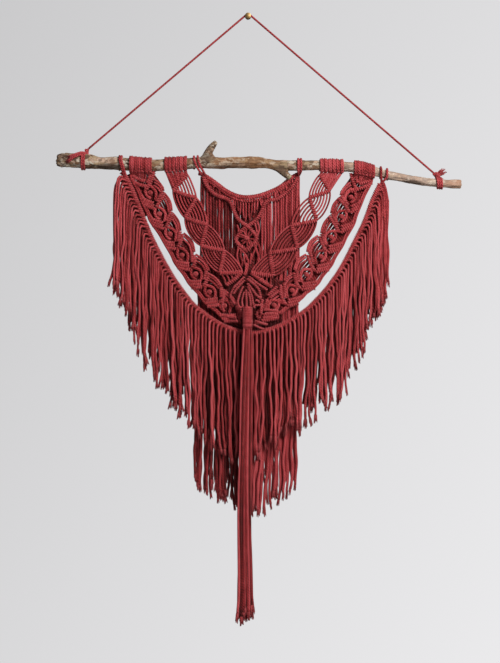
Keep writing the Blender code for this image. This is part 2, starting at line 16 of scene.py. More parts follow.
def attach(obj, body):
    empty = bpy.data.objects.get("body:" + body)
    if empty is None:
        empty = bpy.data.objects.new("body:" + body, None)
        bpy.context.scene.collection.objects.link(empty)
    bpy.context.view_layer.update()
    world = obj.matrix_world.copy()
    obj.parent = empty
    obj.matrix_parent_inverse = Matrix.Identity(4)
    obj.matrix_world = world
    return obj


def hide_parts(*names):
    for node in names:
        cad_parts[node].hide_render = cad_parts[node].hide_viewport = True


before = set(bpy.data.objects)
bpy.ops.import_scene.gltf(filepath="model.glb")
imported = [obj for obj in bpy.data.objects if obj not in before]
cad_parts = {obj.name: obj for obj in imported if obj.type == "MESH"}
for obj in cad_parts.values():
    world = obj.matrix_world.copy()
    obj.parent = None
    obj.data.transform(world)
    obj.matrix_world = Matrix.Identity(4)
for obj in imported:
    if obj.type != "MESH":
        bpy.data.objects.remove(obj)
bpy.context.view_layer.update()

# %% [markdown]
# ## Two ways to name a place
# The nail is the origin, X runs right along the branch, Z runs up and the work faces -Y. A place is
# given in millimetres: right of the nail, below it and out from the wall. Details that were read
# off the photograph are given as its own picture points instead: one is 1.6 mm at the work, and
# the nail is at (248, 14). One helper for each keeps the tables below readable.

# %% Places
def at(x, drop, depth):
    """Place in millimetres: right of the nail, below it, out from the wall."""
    return Vector((x, -depth, -drop)) * 0.001


def spot(x, y, depth):
    """Place of a picture point of the photograph, at a depth in millimetres."""
    return at((x - 248) * 1.6, (y - 14) * 1.6, depth)


def deselect():
    for thing in bpy.context.selected_objects:
        thing.select_set(False)


def join(parts):
    """The parts as one object, which is left selected and active."""
    deselect()
    for part in parts:
        part.select_set(True)
    bpy.context.view_layer.objects.active = parts[0]
    if len(parts) > 1:
        bpy.ops.object.join()
    return bpy.context.view_layer.objects.active


chance = random.Random(11)
print("The centre of the picture is", tuple(spot(250, 331.5, 0)))

# %% [markdown]
# ## The camera
# The photograph was taken straight on, a little to the right of the nail and at half the height of
# the work. A 75 mm lens at 2.2 m gives its flat, calm perspective. The frame is 663 picture points
# high, so the sensor is fitted to the height and the whole height is 1.061 m at the cords.

# %% Camera
bpy.ops.object.camera_add(location=(0.0032, -2.23, -0.508), rotation=(math.pi / 2, 0, 0))
camera = bpy.context.object
camera.data.lens = 75
camera.data.sensor_fit = "VERTICAL"
camera.data.sensor_height = 36
bpy.context.scene.camera = camera
print("Camera stands at", tuple(round(v, 3) for v in camera.location))

# %% [markdown]
# ## How a cord is made
# Every cord here is a curve with a round bevel, made a mesh once its route is laid, because a curve
# follows a given route without any modelling. The route is read from a smooth curve through a
# few points. The tube's own UV runs along it, so it is stretched to metres: then the twist in the
# material has one pitch on every cord. Each cord also gets a tone, which the material uses to make
# it lighter or darker than its neighbours. The ranges of tones were fitted area by area to the
# brightness in the photograph, so part of that light and shade is painted on the cotton.

# %% Cord helpers
def smooth(points, step):
    """Points every step metres on a smooth curve that passes through the given ones."""
    given = np.array([tuple(p) for p in points], float)
    ends = np.vstack([2 * given[0] - given[1], given, 2 * given[-1] - given[-2]])
    t = np.linspace(0, 1, 12, endpoint=False)[:, None]
    runs = [0.5 * (2 * b + (c - a) * t + (2 * a - 5 * b + 4 * c - d) * t ** 2
                   + (3 * b - a - 3 * c + d) * t ** 3)
            for a, b, c, d in zip(ends, ends[1:], ends[2:], ends[3:])]
    dense = np.vstack(runs + [given[-1:]])
    along = np.concatenate([[0], np.cumsum(np.linalg.norm(np.diff(dense, axis=0), axis=1))])
    marks = np.linspace(0, along[-1], max(3, round(along[-1] / step) + 1))
    return np.column_stack([np.interp(marks, along, dense[:, k]) for k in range(3)])


def length_of(points):
    return float(np.linalg.norm(np.diff(np.array([tuple(p) for p in points]), axis=0), axis=1).sum())


def lay_cords(name, runs, sides=8, tones=(0.0, 1.0)):
    """One mesh of round cords, each given as its points and its radius or radii in metres."""
    curve = bpy.data.curves.new(name, "CURVE")
    curve.dimensions = "3D"
    curve.bevel_depth = 1.0
    curve.bevel_resolution = (sides - 4) // 2
    curve.use_fill_caps = True
    for points, radius in runs:
        spline = curve.splines.new("POLY")
        spline.points.add(len(points) - 1)
        spline.points.foreach_set("co", np.column_stack([points, np.ones(len(points))]).ravel())
        spline.points.foreach_set("radius", np.broadcast_to(radius, len(points)).astype("f"))
    cords = bpy.data.objects.new(name, curve)
    bpy.context.scene.collection.objects.link(cords)
    join([cords])
    bpy.ops.object.convert(target="MESH")
    mesh = cords.data
    cap_faces = 2 * (sides - 2)
    quads = [(len(points) - 1) * sides for points, _ in runs]
    tones = [chance.uniform(*tones) for _ in runs]
    tone = mesh.attributes.new("tone", "FLOAT", "FACE")
    tone.data.foreach_set("value", np.concatenate([np.repeat(tones, cap_faces),
                                                   np.repeat(tones, quads)]))
    lengths = [length_of(points) for points, _ in runs]
    stretch = np.concatenate([np.repeat(lengths, cap_faces * 3), np.repeat(lengths, np.array(quads) * 4)])
    uv = np.empty(2 * len(mesh.loops))
    mesh.uv_layers[0].data.foreach_get("uv", uv)
    along, around = uv[0::2], uv[1::2]
    mesh.uv_layers[0].data.foreach_set("uv", np.column_stack([around, along * stretch]).ravel())
    mesh.uv_layers[0].name = "cord"
    bpy.ops.object.mode_set(mode="EDIT")
    bpy.ops.mesh.select_all(action="SELECT")
    bpy.ops.mesh.remove_doubles(threshold=0.00001)
    bpy.ops.object.mode_set(mode="OBJECT")
    bpy.ops.object.shade_smooth()
    return cords


# %% [markdown]
# ## One half hitch, made once
# A bar of macrame is a cord that every working cord wraps twice, so what shows is a row of slanted
# rings. A torus is that ring: it is turned so that the bar runs through it, leaned as the working
# cord leans, and kept aside as a model. Rows are made from copies of it. A left and a right model
# are needed, because the rings lean the other way on the other arm of a chevron.

# %% Knot models
CORD = 0.00165
# Tones for cords that lie behind others: painted shade, darker than the light alone makes them.
PAINTED_SHADE = (-0.8, -0.35)


def turn_uv(mesh, length):
    """Turn a ring's UV so that its second coordinate runs along the cord, in metres."""
    uv = np.empty(2 * len(mesh.loops))
    mesh.uv_layers[0].data.foreach_get("uv", uv)
    turned = np.column_stack([uv[1::2], uv[0::2] * length])
    mesh.uv_layers[0].data.foreach_set("uv", turned.ravel())
    mesh.uv_layers[0].name = "cord"


def ring_model(name, radius, thickness, lean=0.0, tall=1.0, wide=1.0, steps=(10, 5)):
    """Ring of cord round the X axis, leaning in the plane of the work and stretched across it."""
    deselect()
    bpy.ops.mesh.primitive_torus_add(major_segments=steps[0], minor_segments=steps[1],
                                     major_radius=radius, minor_radius=thickness,
                                     rotation=(0, math.pi / 2, 0))
    ring = bpy.context.object
    ring.name = name
    ring.scale = (wide, 1, tall)
    bpy.ops.object.transform_apply(location=True, rotation=True, scale=True)
    bpy.ops.object.mode_set(mode="EDIT")
    bpy.ops.mesh.select_all(action="SELECT")
    bpy.ops.transform.rotate(value=lean, orient_axis="Y", center_override=(0, 0, 0))
    bpy.ops.object.mode_set(mode="OBJECT")
    bpy.ops.object.shade_smooth()
    turn_uv(ring.data, 2 * math.pi * radius)
    ring.hide_render = True
    return ring


hitch_right = ring_model("hitch_right", 0.00145, 0.0013, lean=0.42, wide=1.3)
hitch_left = ring_model("hitch_left", 0.00145, 0.0013, lean=-0.42, wide=1.3)
larks_head = ring_model("larks_head", 0.0021, CORD, tall=1.3)
models = [hitch_right, hitch_left, larks_head]
print("A hitch is", [round(1000 * v, 1) for v in hitch_right.dimensions], "mm")


def stamp(model, places, bright=0.0):
    """Copies of a knot model, one at each place, each with its own mesh and tone."""
    copies = []
    for place in places:
        copy = model.copy()
        copy.data = model.data.copy()
        copy.hide_render = False
        copy.data.transform(place)
        tone = copy.data.attributes.new("tone", "FLOAT", "FACE")
        # Knots get higher tones than plain cords: painted light on the raised knots, and bright adds more
        # painted light.
        tone.data.foreach_set("value", [chance.uniform(0.4, 1.1) + bright] * len(copy.data.polygons))
        bpy.context.scene.collection.objects.link(copy)
        copies.append(copy)
    return copies


def frame_at(place, along, size=1.0):
    """Matrix that puts a model at a place, its X along the bar and its Y away from the wall."""
    x = Vector(along).normalized()
    y = Vector((0, -1, 0))
    y = (y - x * y.dot(x)).normalized()
    z = x.cross(y)
    turn = Matrix((x, y, z)).transposed().to_4x4()
    return Matrix.Translation(Vector(place)) @ turn @ Matrix.Diagonal((1, size, size, 1))


def row_places(points, pitch=0.0033, size=1.0):
    """A place for a knot every pitch along a smooth route."""
    route = smooth(points, pitch)
    middles = (route[1:] + route[:-1]) / 2
    return [frame_at(middle, step, size * chance.uniform(0.96, 1.05))
            for middle, step in zip(middles, np.diff(route, axis=0))]


def bar(points, lean=1, size=1.0, pitch=0.0033, model=None, bright=0.0):
    """A bar of half hitches as separate copies, and the cord inside that carries them."""
    # The carrying cord gets lower tones than its rings: painted shade in the valleys between them.
    carrier = lay_cords("carrying_cord", [(smooth(points, 0.004), 0.0020 * size)], 6, (0.0, 0.5))
    return [carrier] + stamp(model or (hitch_right if lean > 0 else hitch_left),
                             row_places(points, pitch, size), bright)


# %% [markdown]
# ## Cotton, brick red
# The real cord is matt cotton string, softly twisted and coloured a dusty raspberry red in the dyeing.
# The twist is drawn by a sine over the cord's own UV: once round the cord it repeats three times, and
# it moves on with the length. Finer lines with the same turn are the fibres. Both feed the bump and
# the colour, where they darken the grooves and lighten the ridges: painted shade and painted
# highlight. Noise makes the colour uneven, the tone of each cord adds its own variation and painted
# light and shade, and a little sheen stands for the fuzz that catches light at the edges.

# %% Material helpers
def add(tree, kind, inputs=None, **settings):
    """A node with its settings, its values and its links."""
    node = tree.nodes.new(kind)
    for key, value in settings.items():
        setattr(node, key, value)
    for key, value in (inputs or {}).items():
        if isinstance(value, bpy.types.NodeSocket):
            tree.links.new(value, node.inputs[key])
        else:
            node.inputs[key].default_value = value
    return node


def sums(tree, operation, first, second, third=0.0):
    """A math node with two or three inputs."""
    inputs = {0: first, 1: second}
    if operation == "MULTIPLY_ADD":
        inputs[2] = third
    return add(tree, "ShaderNodeMath", inputs, operation=operation).outputs[0]


def blend_colours(tree, factor, first, second, blend_type="MIX"):
    return add(tree, "ShaderNodeMix", {0: factor, 6: first, 7: second}, data_type="RGBA",
               blend_type=blend_type).outputs[2]


def colour_ramp(tree, factor, stops, interpolation="LINEAR"):
    """A ramp through stops, each a position and a colour."""
    node = add(tree, "ShaderNodeValToRGB", {0: factor})
    elements = node.color_ramp.elements
    node.color_ramp.interpolation = interpolation
    for element, (position, colour) in zip((elements[0], elements[1]), (stops[0], stops[-1])):
        element.position, element.color = position, (*colour, 1)
    for position, colour in stops[1:-1]:
        elements.new(position).color = (*colour, 1)
    return node.outputs[0]


def new_material(name):
    material = bpy.data.materials.new(name)
    material.use_nodes = True
    tree = material.node_tree
    return material, tree, tree.nodes["Principled BSDF"]


# %% Cotton material
def cotton_material(name, deep, mid, light):
    """Twisted cotton string: lines that turn over its UV, uneven colour, painted light and shade, and a soft
    sheen.
    """
    material, tree, shader = new_material(name)
    uv = add(tree, "ShaderNodeUVMap", uv_map="cord").outputs[0]
    split = add(tree, "ShaderNodeSeparateXYZ", {0: uv})
    around, along = split.outputs[0], split.outputs[1]
    where = add(tree, "ShaderNodeTexCoord").outputs["Object"]
    mottle = add(tree, "ShaderNodeTexNoise", {"Vector": where, "Scale": 90.0, "Detail": 3.0}).outputs[0]
    fluff = add(tree, "ShaderNodeTexNoise", {"Vector": where, "Scale": 1400.0, "Detail": 4.0}).outputs[0]
    lint = add(tree, "ShaderNodeTexNoise", {"Vector": where, "Scale": 430.0, "Detail": 3.0}).outputs[0]
    turn = sums(tree, "MULTIPLY_ADD", along, 1 / 0.013, around)
    ply = sums(tree, "SINE", sums(tree, "MULTIPLY", turn, 2 * math.pi * 3), 0.0)
    loose = sums(tree, "MULTIPLY_ADD", fluff, 0.12, turn)
    fibre = sums(tree, "SINE", sums(tree, "MULTIPLY", loose, 2 * math.pi * 17), 0.0)
    tone = add(tree, "ShaderNodeAttribute", attribute_name="tone").outputs["Fac"]
    # The tone of each cord carries painted light and shade, on top of the random mottle of the cotton.
    mottle_and_painted_shade = sums(tree, "MULTIPLY_ADD", lint, 0.75, sums(tree, "MULTIPLY_ADD", mottle, 0.50,
                sums(tree, "MULTIPLY_ADD", tone, 0.38, -0.28)))
    # The ply and fibre lines darken the grooves of the twist and lighten its ridges: painted shade and
    # painted highlight.
    shade = sums(tree, "MULTIPLY_ADD", ply, 0.21, sums(tree, "MULTIPLY_ADD", fibre, 0.06, mottle_and_painted_shade))
    # The deepest stop is reached by the cords with the darkest tones: painted deep shade.
    deepest_painted_shade = [v * 0.35 for v in deep]
    colour_with_painted_shade = colour_ramp(tree, shade, ((0.0, deepest_painted_shade), (0.2, deep), (0.5, mid), (0.95, light)))
    height = sums(tree, "MULTIPLY_ADD", ply, 0.5, sums(tree, "MULTIPLY_ADD", fibre, 0.18,
                  sums(tree, "MULTIPLY", fluff, 0.6)))
    bump = add(tree, "ShaderNodeBump", {"Height": height, "Strength": 0.8, "Distance": 0.0007})
    tree.links.new(colour_with_painted_shade, shader.inputs["Base Color"])
    tree.links.new(bump.outputs[0], shader.inputs["Normal"])
    rough = sums(tree, "MULTIPLY_ADD", fluff, 0.12, 0.82)
    tree.links.new(rough, shader.inputs["Roughness"])
    shader.inputs["Sheen Weight"].default_value = 0.18
    shader.inputs["Sheen Roughness"].default_value = 0.45
    shader.inputs["Sheen Tint"].default_value = (1.0, 0.62, 0.6, 1)
    shader.inputs["Specular IOR Level"].default_value = 0.2
    return material


cotton = cotton_material("red cotton", (0.15, 0.009, 0.010), (0.40, 0.034, 0.038), (0.66, 0.106, 0.118))
print("Cotton nodes:", len(cotton.node_tree.nodes))

# %% [markdown]
# ## Handing a piece over
# A finished piece is one mesh at the origin. It rides on the one body of the frame, stands for its
# CAD node, which is hidden, and takes the material it is given. One helper joins the parts and does
# all four, so that no piece is forgotten.

# %% Finish a piece
def finish_piece(parts, name, node, material):
    piece = join(parts)
    piece.name = name
    piece.data.name = name
    piece.data.materials.clear()
    piece.data.materials.append(material)
    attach(piece, "root")
    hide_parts(node)
    piece.data.calc_loop_triangles()
    print(name, "has", len(piece.data.loop_triangles), "triangles")
    return piece


# %% [markdown]
# ## The hanging cord
# It is the first piece, since a free cord has to be laid before anything else is fitted round it. It
# is taut: two straight runs from the knots to the nail and a small turn over the shank. It carries
# the weight, so it has no sag, and its route is the same as that of the CAD cord.

# %% Hanging cord
BRANCH_DEPTH = 18.0
KNOTS = ((-258, 217.5), (300, 256.5))
NAIL_BEND = 1.5 + 0.35 + 1.6
KNOT_REACH = 4.2 + 0.35


def cord_route():
    shank = at(0, 0, 5)
    halves = []
    for (x, drop), side in zip(KNOTS, (-1, 1)):
        slope = math.atan2(drop, abs(x)) - math.asin(NAIL_BEND / math.hypot(x, drop))
        leave = shank + Vector((side * math.sin(slope), 0, math.cos(slope))) * NAIL_BEND * 0.001
        knot = at(x, drop, BRANCH_DEPTH)
        start = knot + (leave - knot).normalized() * KNOT_REACH * 0.001
        run = [start.lerp(leave, step / 26) for step in range(27)]
        arc = [shank + Vector((side * math.sin(slope * part), 0, math.cos(slope * part)))
               * NAIL_BEND * 0.001 for part in (2 / 3, 1 / 3)]
        halves.append(run + arc)
    return halves[0] + [shank + Vector((0, 0, NAIL_BEND * 0.001))] + halves[1][::-1]


hanging_route = cord_route()
hanging_cord = finish_piece([lay_cords("hanging", [(np.array(hanging_route), 0.0016)], 12)],
                            "hanging_cord_string", "hanging_cord", cotton)

# %% [markdown]
# ## The driftwood branch
# The real branch is weathered and peeled, thicker at the left, with a broken left end, a sawn right
# end, a twig at the top and a stub below. A cylinder would have to be bent section by section, so it
# is swept through its traced sections instead. The twig and the stub are swept too, and one voxel
# remesh grows the three together as wood does. Noise that is stretched along the grain then pushes
# the surface in and out.

# %% Branch sections
BRANCH = np.array((
    (-306, 234, 8.5), (-299, 234, 10.9), (-282, 234, 11.6), (-259, 235, 11.6), (-238, 238, 9.8),
    (-205, 239, 10.2), (-165, 242, 9.4), (-141, 242, 9.6), (-109, 240, 8.8), (-85, 238, 8.5),
    (-64, 237, 9.9), (-42, 238, 9.1), (-13, 238, 8.8), (6, 237, 9.6), (29, 239, 8.0),
    (56, 242, 8.5), (115, 242, 8.0), (155, 244, 8.3), (182, 247, 8.5), (203, 252, 7.7),
    (227, 258, 6.9), (251, 263, 6.2), (291, 269, 6.9), (318, 271.5, 6.3), (334, 272, 7.1), (341, 272.5, 7.3)))


def branch_at(x):
    """Drop of the branch's middle and its radius, in millimetres, at an x in millimetres."""
    return (float(np.interp(x, BRANCH[:, 0], BRANCH[:, 1])),
            float(np.interp(x, BRANCH[:, 0], BRANCH[:, 2])))


def limb(name, rows, sides=24):
    """A tapering limb swept through rows of x, drop, depth and radius."""
    route = smooth([at(*row[:3]) for row in rows], 0.003)
    given = np.array([tuple(at(*row[:3])) for row in rows])
    along = np.concatenate([[0], np.cumsum(np.linalg.norm(np.diff(given, axis=0), axis=1))])
    radii = np.interp(np.linspace(0, along[-1], len(route)), along, [row[3] * 0.001 for row in rows])
    return lay_cords(name, [(route, radii)], sides)


wood_parts = [
    limb("trunk", [(x, drop, BRANCH_DEPTH, radius) for x, drop, radius in BRANCH]),
    limb("twig", [(-72, 238, 18, 8.2), (-67.5, 230, 18, 7.6), (-64, 223, 18, 6.8), (-60, 216.5, 18.4, 6.2),
                  (-55.5, 210, 18.6, 5.5), (-51.5, 205, 18.7, 4.6), (-50.2, 203.2, 18.7, 3.4)], 16),
    limb("side_nub", [(-62, 224, 18, 4.4), (-58, 227, 20, 4.2), (-54.6, 229.5, 21.5, 3.2)], 12),
    limb("stub", [(36, 241, 18, 7.2), (47, 245, 18.4, 7.0), (56, 252, 19.2, 6.2), (63, 258.5, 20.2, 5.4),
                  (68, 263, 21, 4.6)], 16),
]
print("Branch is", round(BRANCH[-1, 0] - BRANCH[0, 0]), "mm long")


# %% Grow the limbs together and raise the grain
driftwood = join(wood_parts)
grow = driftwood.modifiers.new("grow together", "REMESH")
grow.mode = "VOXEL"
grow.voxel_size = 0.0012
bpy.ops.object.modifier_apply(modifier=grow.name)
soften = driftwood.modifiers.new("soften", "SMOOTH")
soften.factor = 0.5
soften.iterations = 3
bpy.ops.object.modifier_apply(modifier=soften.name)


def wood_relief(place):
    """How far the wood stands proud at a place, in metres: long ridges, fine grain and cracks."""
    x = place.x * 1000
    drop, radius = branch_at(x)
    turn = math.atan2(-place.y * 1000 - BRANCH_DEPTH, -place.z * 1000 - drop)
    ring = Vector((math.cos(turn), math.sin(turn), 0))
    ridge = noise.noise(Vector((x * 0.045, ring.x * 1.3, ring.y * 1.3)))
    grain = noise.noise(Vector((x * 0.07, ring.x * 4.2, ring.y * 4.2)))
    fine = noise.noise(Vector((x * 0.16, ring.x * 11, ring.y * 11)))
    crack = 1 - abs(noise.noise(Vector((x * 0.022 + 7, ring.x * 2.6, ring.y * 2.6)))) * 9
    rough_end = max(0.0, 1 - (x + 306) / 32)
    chips = noise.noise(Vector((x * 0.25, ring.x * 3.4, ring.y * 3.4)))
    return 0.001 * (1.35 * ridge + 0.65 * grain + 0.3 * fine - 1.0 * max(0.0, crack)
                    + rough_end * 1.9 * chips)


normals = [v.normal.copy() for v in driftwood.data.vertices]
for vertex, normal in zip(driftwood.data.vertices, normals):
    vertex.co += normal * wood_relief(vertex.co)
bpy.ops.object.shade_smooth()
print("Driftwood has", len(driftwood.data.vertices), "points")

# %% [markdown]
# Wood needs its colour along the grain: pale, bleached ridges and darker lines, all stretched along
# the branch. A few places are special: a peeled pinkish patch near the left end, darker spots, most of
# them low on the branch, below it and near the right end, a pale knot at the tip of the stub, and a
# warm golden middle. Each is a soft egg-shaped mask at its own place, read from Object coordinates.

# %% Driftwood material
def patch(tree, where, x, drop, depth, reach):
    """Soft mask that is 1 at a place and falls to 0 at its reach, all in millimetres."""
    centred = add(tree, "ShaderNodeMapping", {"Vector": where, "Location": -at(x, drop, depth)}).outputs[0]
    scaled = add(tree, "ShaderNodeVectorMath", {0: centred, 1: [1000 / r for r in reach]},
                 operation="MULTIPLY").outputs[0]
    far = add(tree, "ShaderNodeVectorMath", {0: scaled}, operation="LENGTH").outputs["Value"]
    return add(tree, "ShaderNodeMapRange", {"Value": far, "From Min": 0.45, "From Max": 1.0,
                                            "To Min": 1.0, "To Max": 0.0},
               interpolation_type="SMOOTHSTEP").outputs[0]


WOOD_STOPS = ((0.34, (0.035, 0.018, 0.010)), (0.43, (0.13, 0.075, 0.042)),
              (0.51, (0.27, 0.175, 0.105)), (0.60, (0.42, 0.32, 0.22)), (0.72, (0.66, 0.57, 0.45)))
BARK_STOPS = ((0.0, (0.050, 0.028, 0.018)), (0.2, (0.22, 0.105, 0.052)), (0.42, (0.44, 0.32, 0.19)),
              (0.62, (0.55, 0.37, 0.27)), (0.8, (0.70, 0.62, 0.50)))
# The golden middle, the sawn end and the peeled patch: place, reach, share and tint.
TINTS = (((-5, 238, 22), (75, 40, 40), 0.42, (0.34, 0.16, 0.068)),
         ((338, 272, 18), (34, 22, 22), 0.5, (0.50, 0.27, 0.18)),
         ((-226, 234, 28), (36, 14, 9), 0.22, (0.62, 0.42, 0.32)))
# Dark spots: x, drop, depth, reach and share.
DARK_SPOTS = ((-222, 246, 27, (30, 11, 9), 0.9), (262, 270, 22, (26, 9, 5), 0.85),
              (-300, 230, 22, (20, 22, 14), 0.55), (50, 251, 22, (17, 12, 13), 0.72),
              (-62, 220, 20, (16, 14, 22), 0.35), (-66, 234, 22, (15, 12, 13), 0.5),
              (-20, 244, 24, (34, 10, 6), 0.6), (-180, 246, 24, (24, 10, 6), 0.7))


def wood_material():
    material, tree, shader = new_material("weathered driftwood")
    where = add(tree, "ShaderNodeTexCoord").outputs["Object"]
    grain_way = add(tree, "ShaderNodeMapping", {"Vector": where, "Scale": (0.14, 1, 1)}).outputs[0]
    streaks = add(tree, "ShaderNodeTexNoise", {"Vector": grain_way, "Scale": 260.0, "Detail": 8.0,
                                               "Roughness": 0.62, "Distortion": 0.6}).outputs[0]
    fine = add(tree, "ShaderNodeTexNoise", {"Vector": grain_way, "Scale": 1100.0, "Detail": 5.0}).outputs[0]
    clouds = add(tree, "ShaderNodeTexNoise", {"Vector": where, "Scale": 38.0, "Detail": 4.0}).outputs[0]
    colour = colour_ramp(tree, streaks, WOOD_STOPS)
    shift = add(tree, "ShaderNodeTexNoise", {"Vector": where, "Scale": 120.0, "Detail": 3.0}).outputs["Color"]
    warped = add(tree, "ShaderNodeVectorMath", {0: shift, 1: (0.012, 0.012, 0.012), 2: where},
                 operation="MULTIPLY_ADD").outputs[0]
    scaly = add(tree, "ShaderNodeMapping", {"Vector": warped, "Scale": (0.45, 1, 1)}).outputs[0]
    scales = add(tree, "ShaderNodeTexVoronoi", {"Vector": scaly, "Scale": 230.0}).outputs["Color"]
    pick = add(tree, "ShaderNodeSeparateColor", {0: scales}).outputs[0]
    bark = colour_ramp(tree, pick, BARK_STOPS, "CONSTANT")
    gaps = add(tree, "ShaderNodeTexVoronoi", {"Vector": scaly, "Scale": 230.0},
               feature="DISTANCE_TO_EDGE").outputs[0]
    seam = add(tree, "ShaderNodeMapRange", {"Value": gaps, "From Min": 0.0, "From Max": 0.11, "To Min": 1.3,
                                            "To Max": 0.0}).outputs[0]
    left_part = patch(tree, where, -250, 236, 18, (85, 60, 60))
    right_part = patch(tree, where, 235, 262, 18, (130, 60, 60))
    much = sums(tree, "MULTIPLY_ADD", left_part, 0.12, 0.66)
    colour = blend_colours(tree, much, colour, bark)
    colour = blend_colours(tree, sums(tree, "MULTIPLY", seam, clouds), colour, (0.045, 0.026, 0.018, 1))
    colour = blend_colours(tree, sums(tree, "MULTIPLY", right_part, 0.42), colour, (0.70, 0.53, 0.44, 1))
    warm = add(tree, "ShaderNodeMapRange", {"Value": clouds, "From Min": 0.42, "From Max": 0.62}).outputs[0]
    colour = blend_colours(tree, sums(tree, "MULTIPLY", warm, 0.22), colour, (0.32, 0.15, 0.065, 1))
    for place, reach, share, tint in TINTS:
        mask = sums(tree, "MULTIPLY", patch(tree, where, *place, reach), share)
        colour = blend_colours(tree, mask, colour, (*tint, 1))
    for x, drop, depth, reach, much in DARK_SPOTS:
        dark = patch(tree, where, x, drop, depth, reach)
        broken = sums(tree, "MULTIPLY", dark, add(tree, "ShaderNodeMapRange",
                      {"Value": clouds, "From Min": 0.22, "From Max": 0.5}).outputs[0])
        colour = blend_colours(tree, sums(tree, "MULTIPLY", broken, much), colour,
                               (0.075, 0.045, 0.030, 1))
    pits = add(tree, "ShaderNodeTexVoronoi", {"Vector": where, "Scale": 420.0}).outputs["Distance"]
    pitted = add(tree, "ShaderNodeMapRange", {"Value": pits, "From Min": 0.18, "From Max": 0.34,
                                              "To Min": 1.0, "To Max": 0.0}).outputs[0]
    twig_bark = patch(tree, where, -62, 222, 18, (26, 34, 30))
    colour = blend_colours(tree, sums(tree, "MULTIPLY", pitted, twig_bark), colour, (0.06, 0.038, 0.026, 1))
    pale = patch(tree, where, 68, 263, 21, (7, 7, 7))
    colour = blend_colours(tree, sums(tree, "MULTIPLY", pale, 0.6), colour, (0.50, 0.47, 0.28, 1))
    height = sums(tree, "MULTIPLY_ADD", streaks, 1.0, sums(tree, "MULTIPLY", fine, 0.35))
    bump = add(tree, "ShaderNodeBump", {"Height": height, "Strength": 0.6, "Distance": 0.0012})
    tree.links.new(colour, shader.inputs["Base Color"])
    tree.links.new(bump.outputs[0], shader.inputs["Normal"])
    tree.links.new(sums(tree, "MULTIPLY_ADD", fine, 0.3, 0.58), shader.inputs["Roughness"])
    shader.inputs["Specular IOR Level"].default_value = 0.3
    return material


finish_piece([driftwood], "driftwood_branch", "branch", wood_material())

# %% [markdown]
# ## The nail
# A small round-headed nail carries everything. A cylinder is its shank. The end face is inset
# outwards and extruded for the head, then beveled, which is how a turned head is made from one
# primitive. Its metal is old brass: darker in patches and duller where it is darker.

# %% Nail
deselect()
bpy.ops.mesh.primitive_cylinder_add(vertices=32, radius=0.0015, depth=0.009, location=(0, -0.0045, 0),
                                    rotation=(math.pi / 2, 0, 0))
nail = bpy.context.object
bpy.ops.object.transform_apply(location=True, rotation=True, scale=True)
for face in nail.data.polygons:
    face.select = face.center.y < -0.0089
bpy.ops.object.mode_set(mode="EDIT")
bpy.ops.mesh.select_mode(type="FACE")
bpy.ops.mesh.extrude_region_move()
bpy.ops.transform.resize(value=(3.2, 1, 3.2), center_override=(0, -0.009, 0))
bpy.ops.mesh.extrude_region_move(TRANSFORM_OT_translate={"value": (0, -0.0007, 0)})
bpy.ops.mesh.extrude_region_move(TRANSFORM_OT_translate={"value": (0, -0.0006, 0)})
bpy.ops.transform.resize(value=(0.72, 1, 0.72), center_override=(0, -0.0103, 0))
bpy.ops.mesh.inset(thickness=0.0016)
bpy.ops.transform.translate(value=(0, -0.0003, 0))
bpy.ops.mesh.select_all(action="SELECT")
bpy.ops.mesh.normals_make_consistent(inside=False)
bpy.ops.object.mode_set(mode="OBJECT")
rounding = nail.modifiers.new("rounding", "BEVEL")
rounding.width = 0.0003
rounding.segments = 2
rounding.angle_limit = math.radians(50)
bpy.ops.object.modifier_apply(modifier=rounding.name)
bpy.ops.object.shade_smooth_by_angle(angle=math.radians(35))


def brass_material():
    material, tree, shader = new_material("old brass")
    where = add(tree, "ShaderNodeTexCoord").outputs["Object"]
    tarnish = add(tree, "ShaderNodeTexNoise", {"Vector": where, "Scale": 420.0, "Detail": 5.0}).outputs[0]
    colour = blend_colours(tree, tarnish, (0.16, 0.09, 0.04, 1), (0.5, 0.33, 0.14, 1))
    tree.links.new(colour, shader.inputs["Base Color"])
    tree.links.new(sums(tree, "MULTIPLY_ADD", tarnish, -0.3, 0.62), shader.inputs["Roughness"])
    bump = add(tree, "ShaderNodeBump", {"Height": tarnish, "Strength": 0.3, "Distance": 0.0002})
    tree.links.new(bump.outputs[0], shader.inputs["Normal"])
    shader.inputs["Metallic"].default_value = 1.0
    return material


finish_piece([nail], "brass_nail", "nail", brass_material())

# %% [markdown]
# ## Cords round the branch
# Mounting loops, wraps and ties all go round the same uneven branch, so one helper gives the place at
# any angle round it: 0 faces the room, 90 is the top, 180 the wall side. A wrap is then only a list
# of angles, with a slow drift in x where the cord crosses at a slant.

# %% Round the branch
def round_branch(x, angle, lift=0.0):
    """Place on the branch for a cord's middle, at an angle and a lift above the wood."""
    drop, radius = branch_at(x)
    reach = radius + 0.25 + 1000 * CORD + lift
    turn = math.radians(angle)
    return at(x, drop - reach * math.sin(turn), BRANCH_DEPTH + reach * math.cos(turn))


def wrap(start_x, end_x, first, last, lift=0.0, steps=13):
    """Points of a wrap from one angle to another."""
    return [round_branch(start_x + (end_x - start_x) * k / (steps - 1),
                         first + (last - first) * k / (steps - 1), lift) for k in range(steps)]


def bights(xs):
    """The short bars behind the branch that each pair of wraps comes out of."""
    runs = []
    for left, right in zip(xs[0::2], xs[1::2]):
        points = [round_branch(left - 1.2, 205, 0.4), round_branch(left, 198, 3.1),
                  round_branch(right, 198, 3.1), round_branch(right + 1.2, 205, 0.4)]
        runs.append((smooth(points, 0.002), CORD))
    return runs


# %% [markdown]
# ## Lark's heads on the branch
# The bands hang from lark's head knots. Each is one folded cord, so its two halves come over the
# branch side by side. They pull together just below it, where the small cross bar of the knot holds
# them, and then part to the first bars of the band.

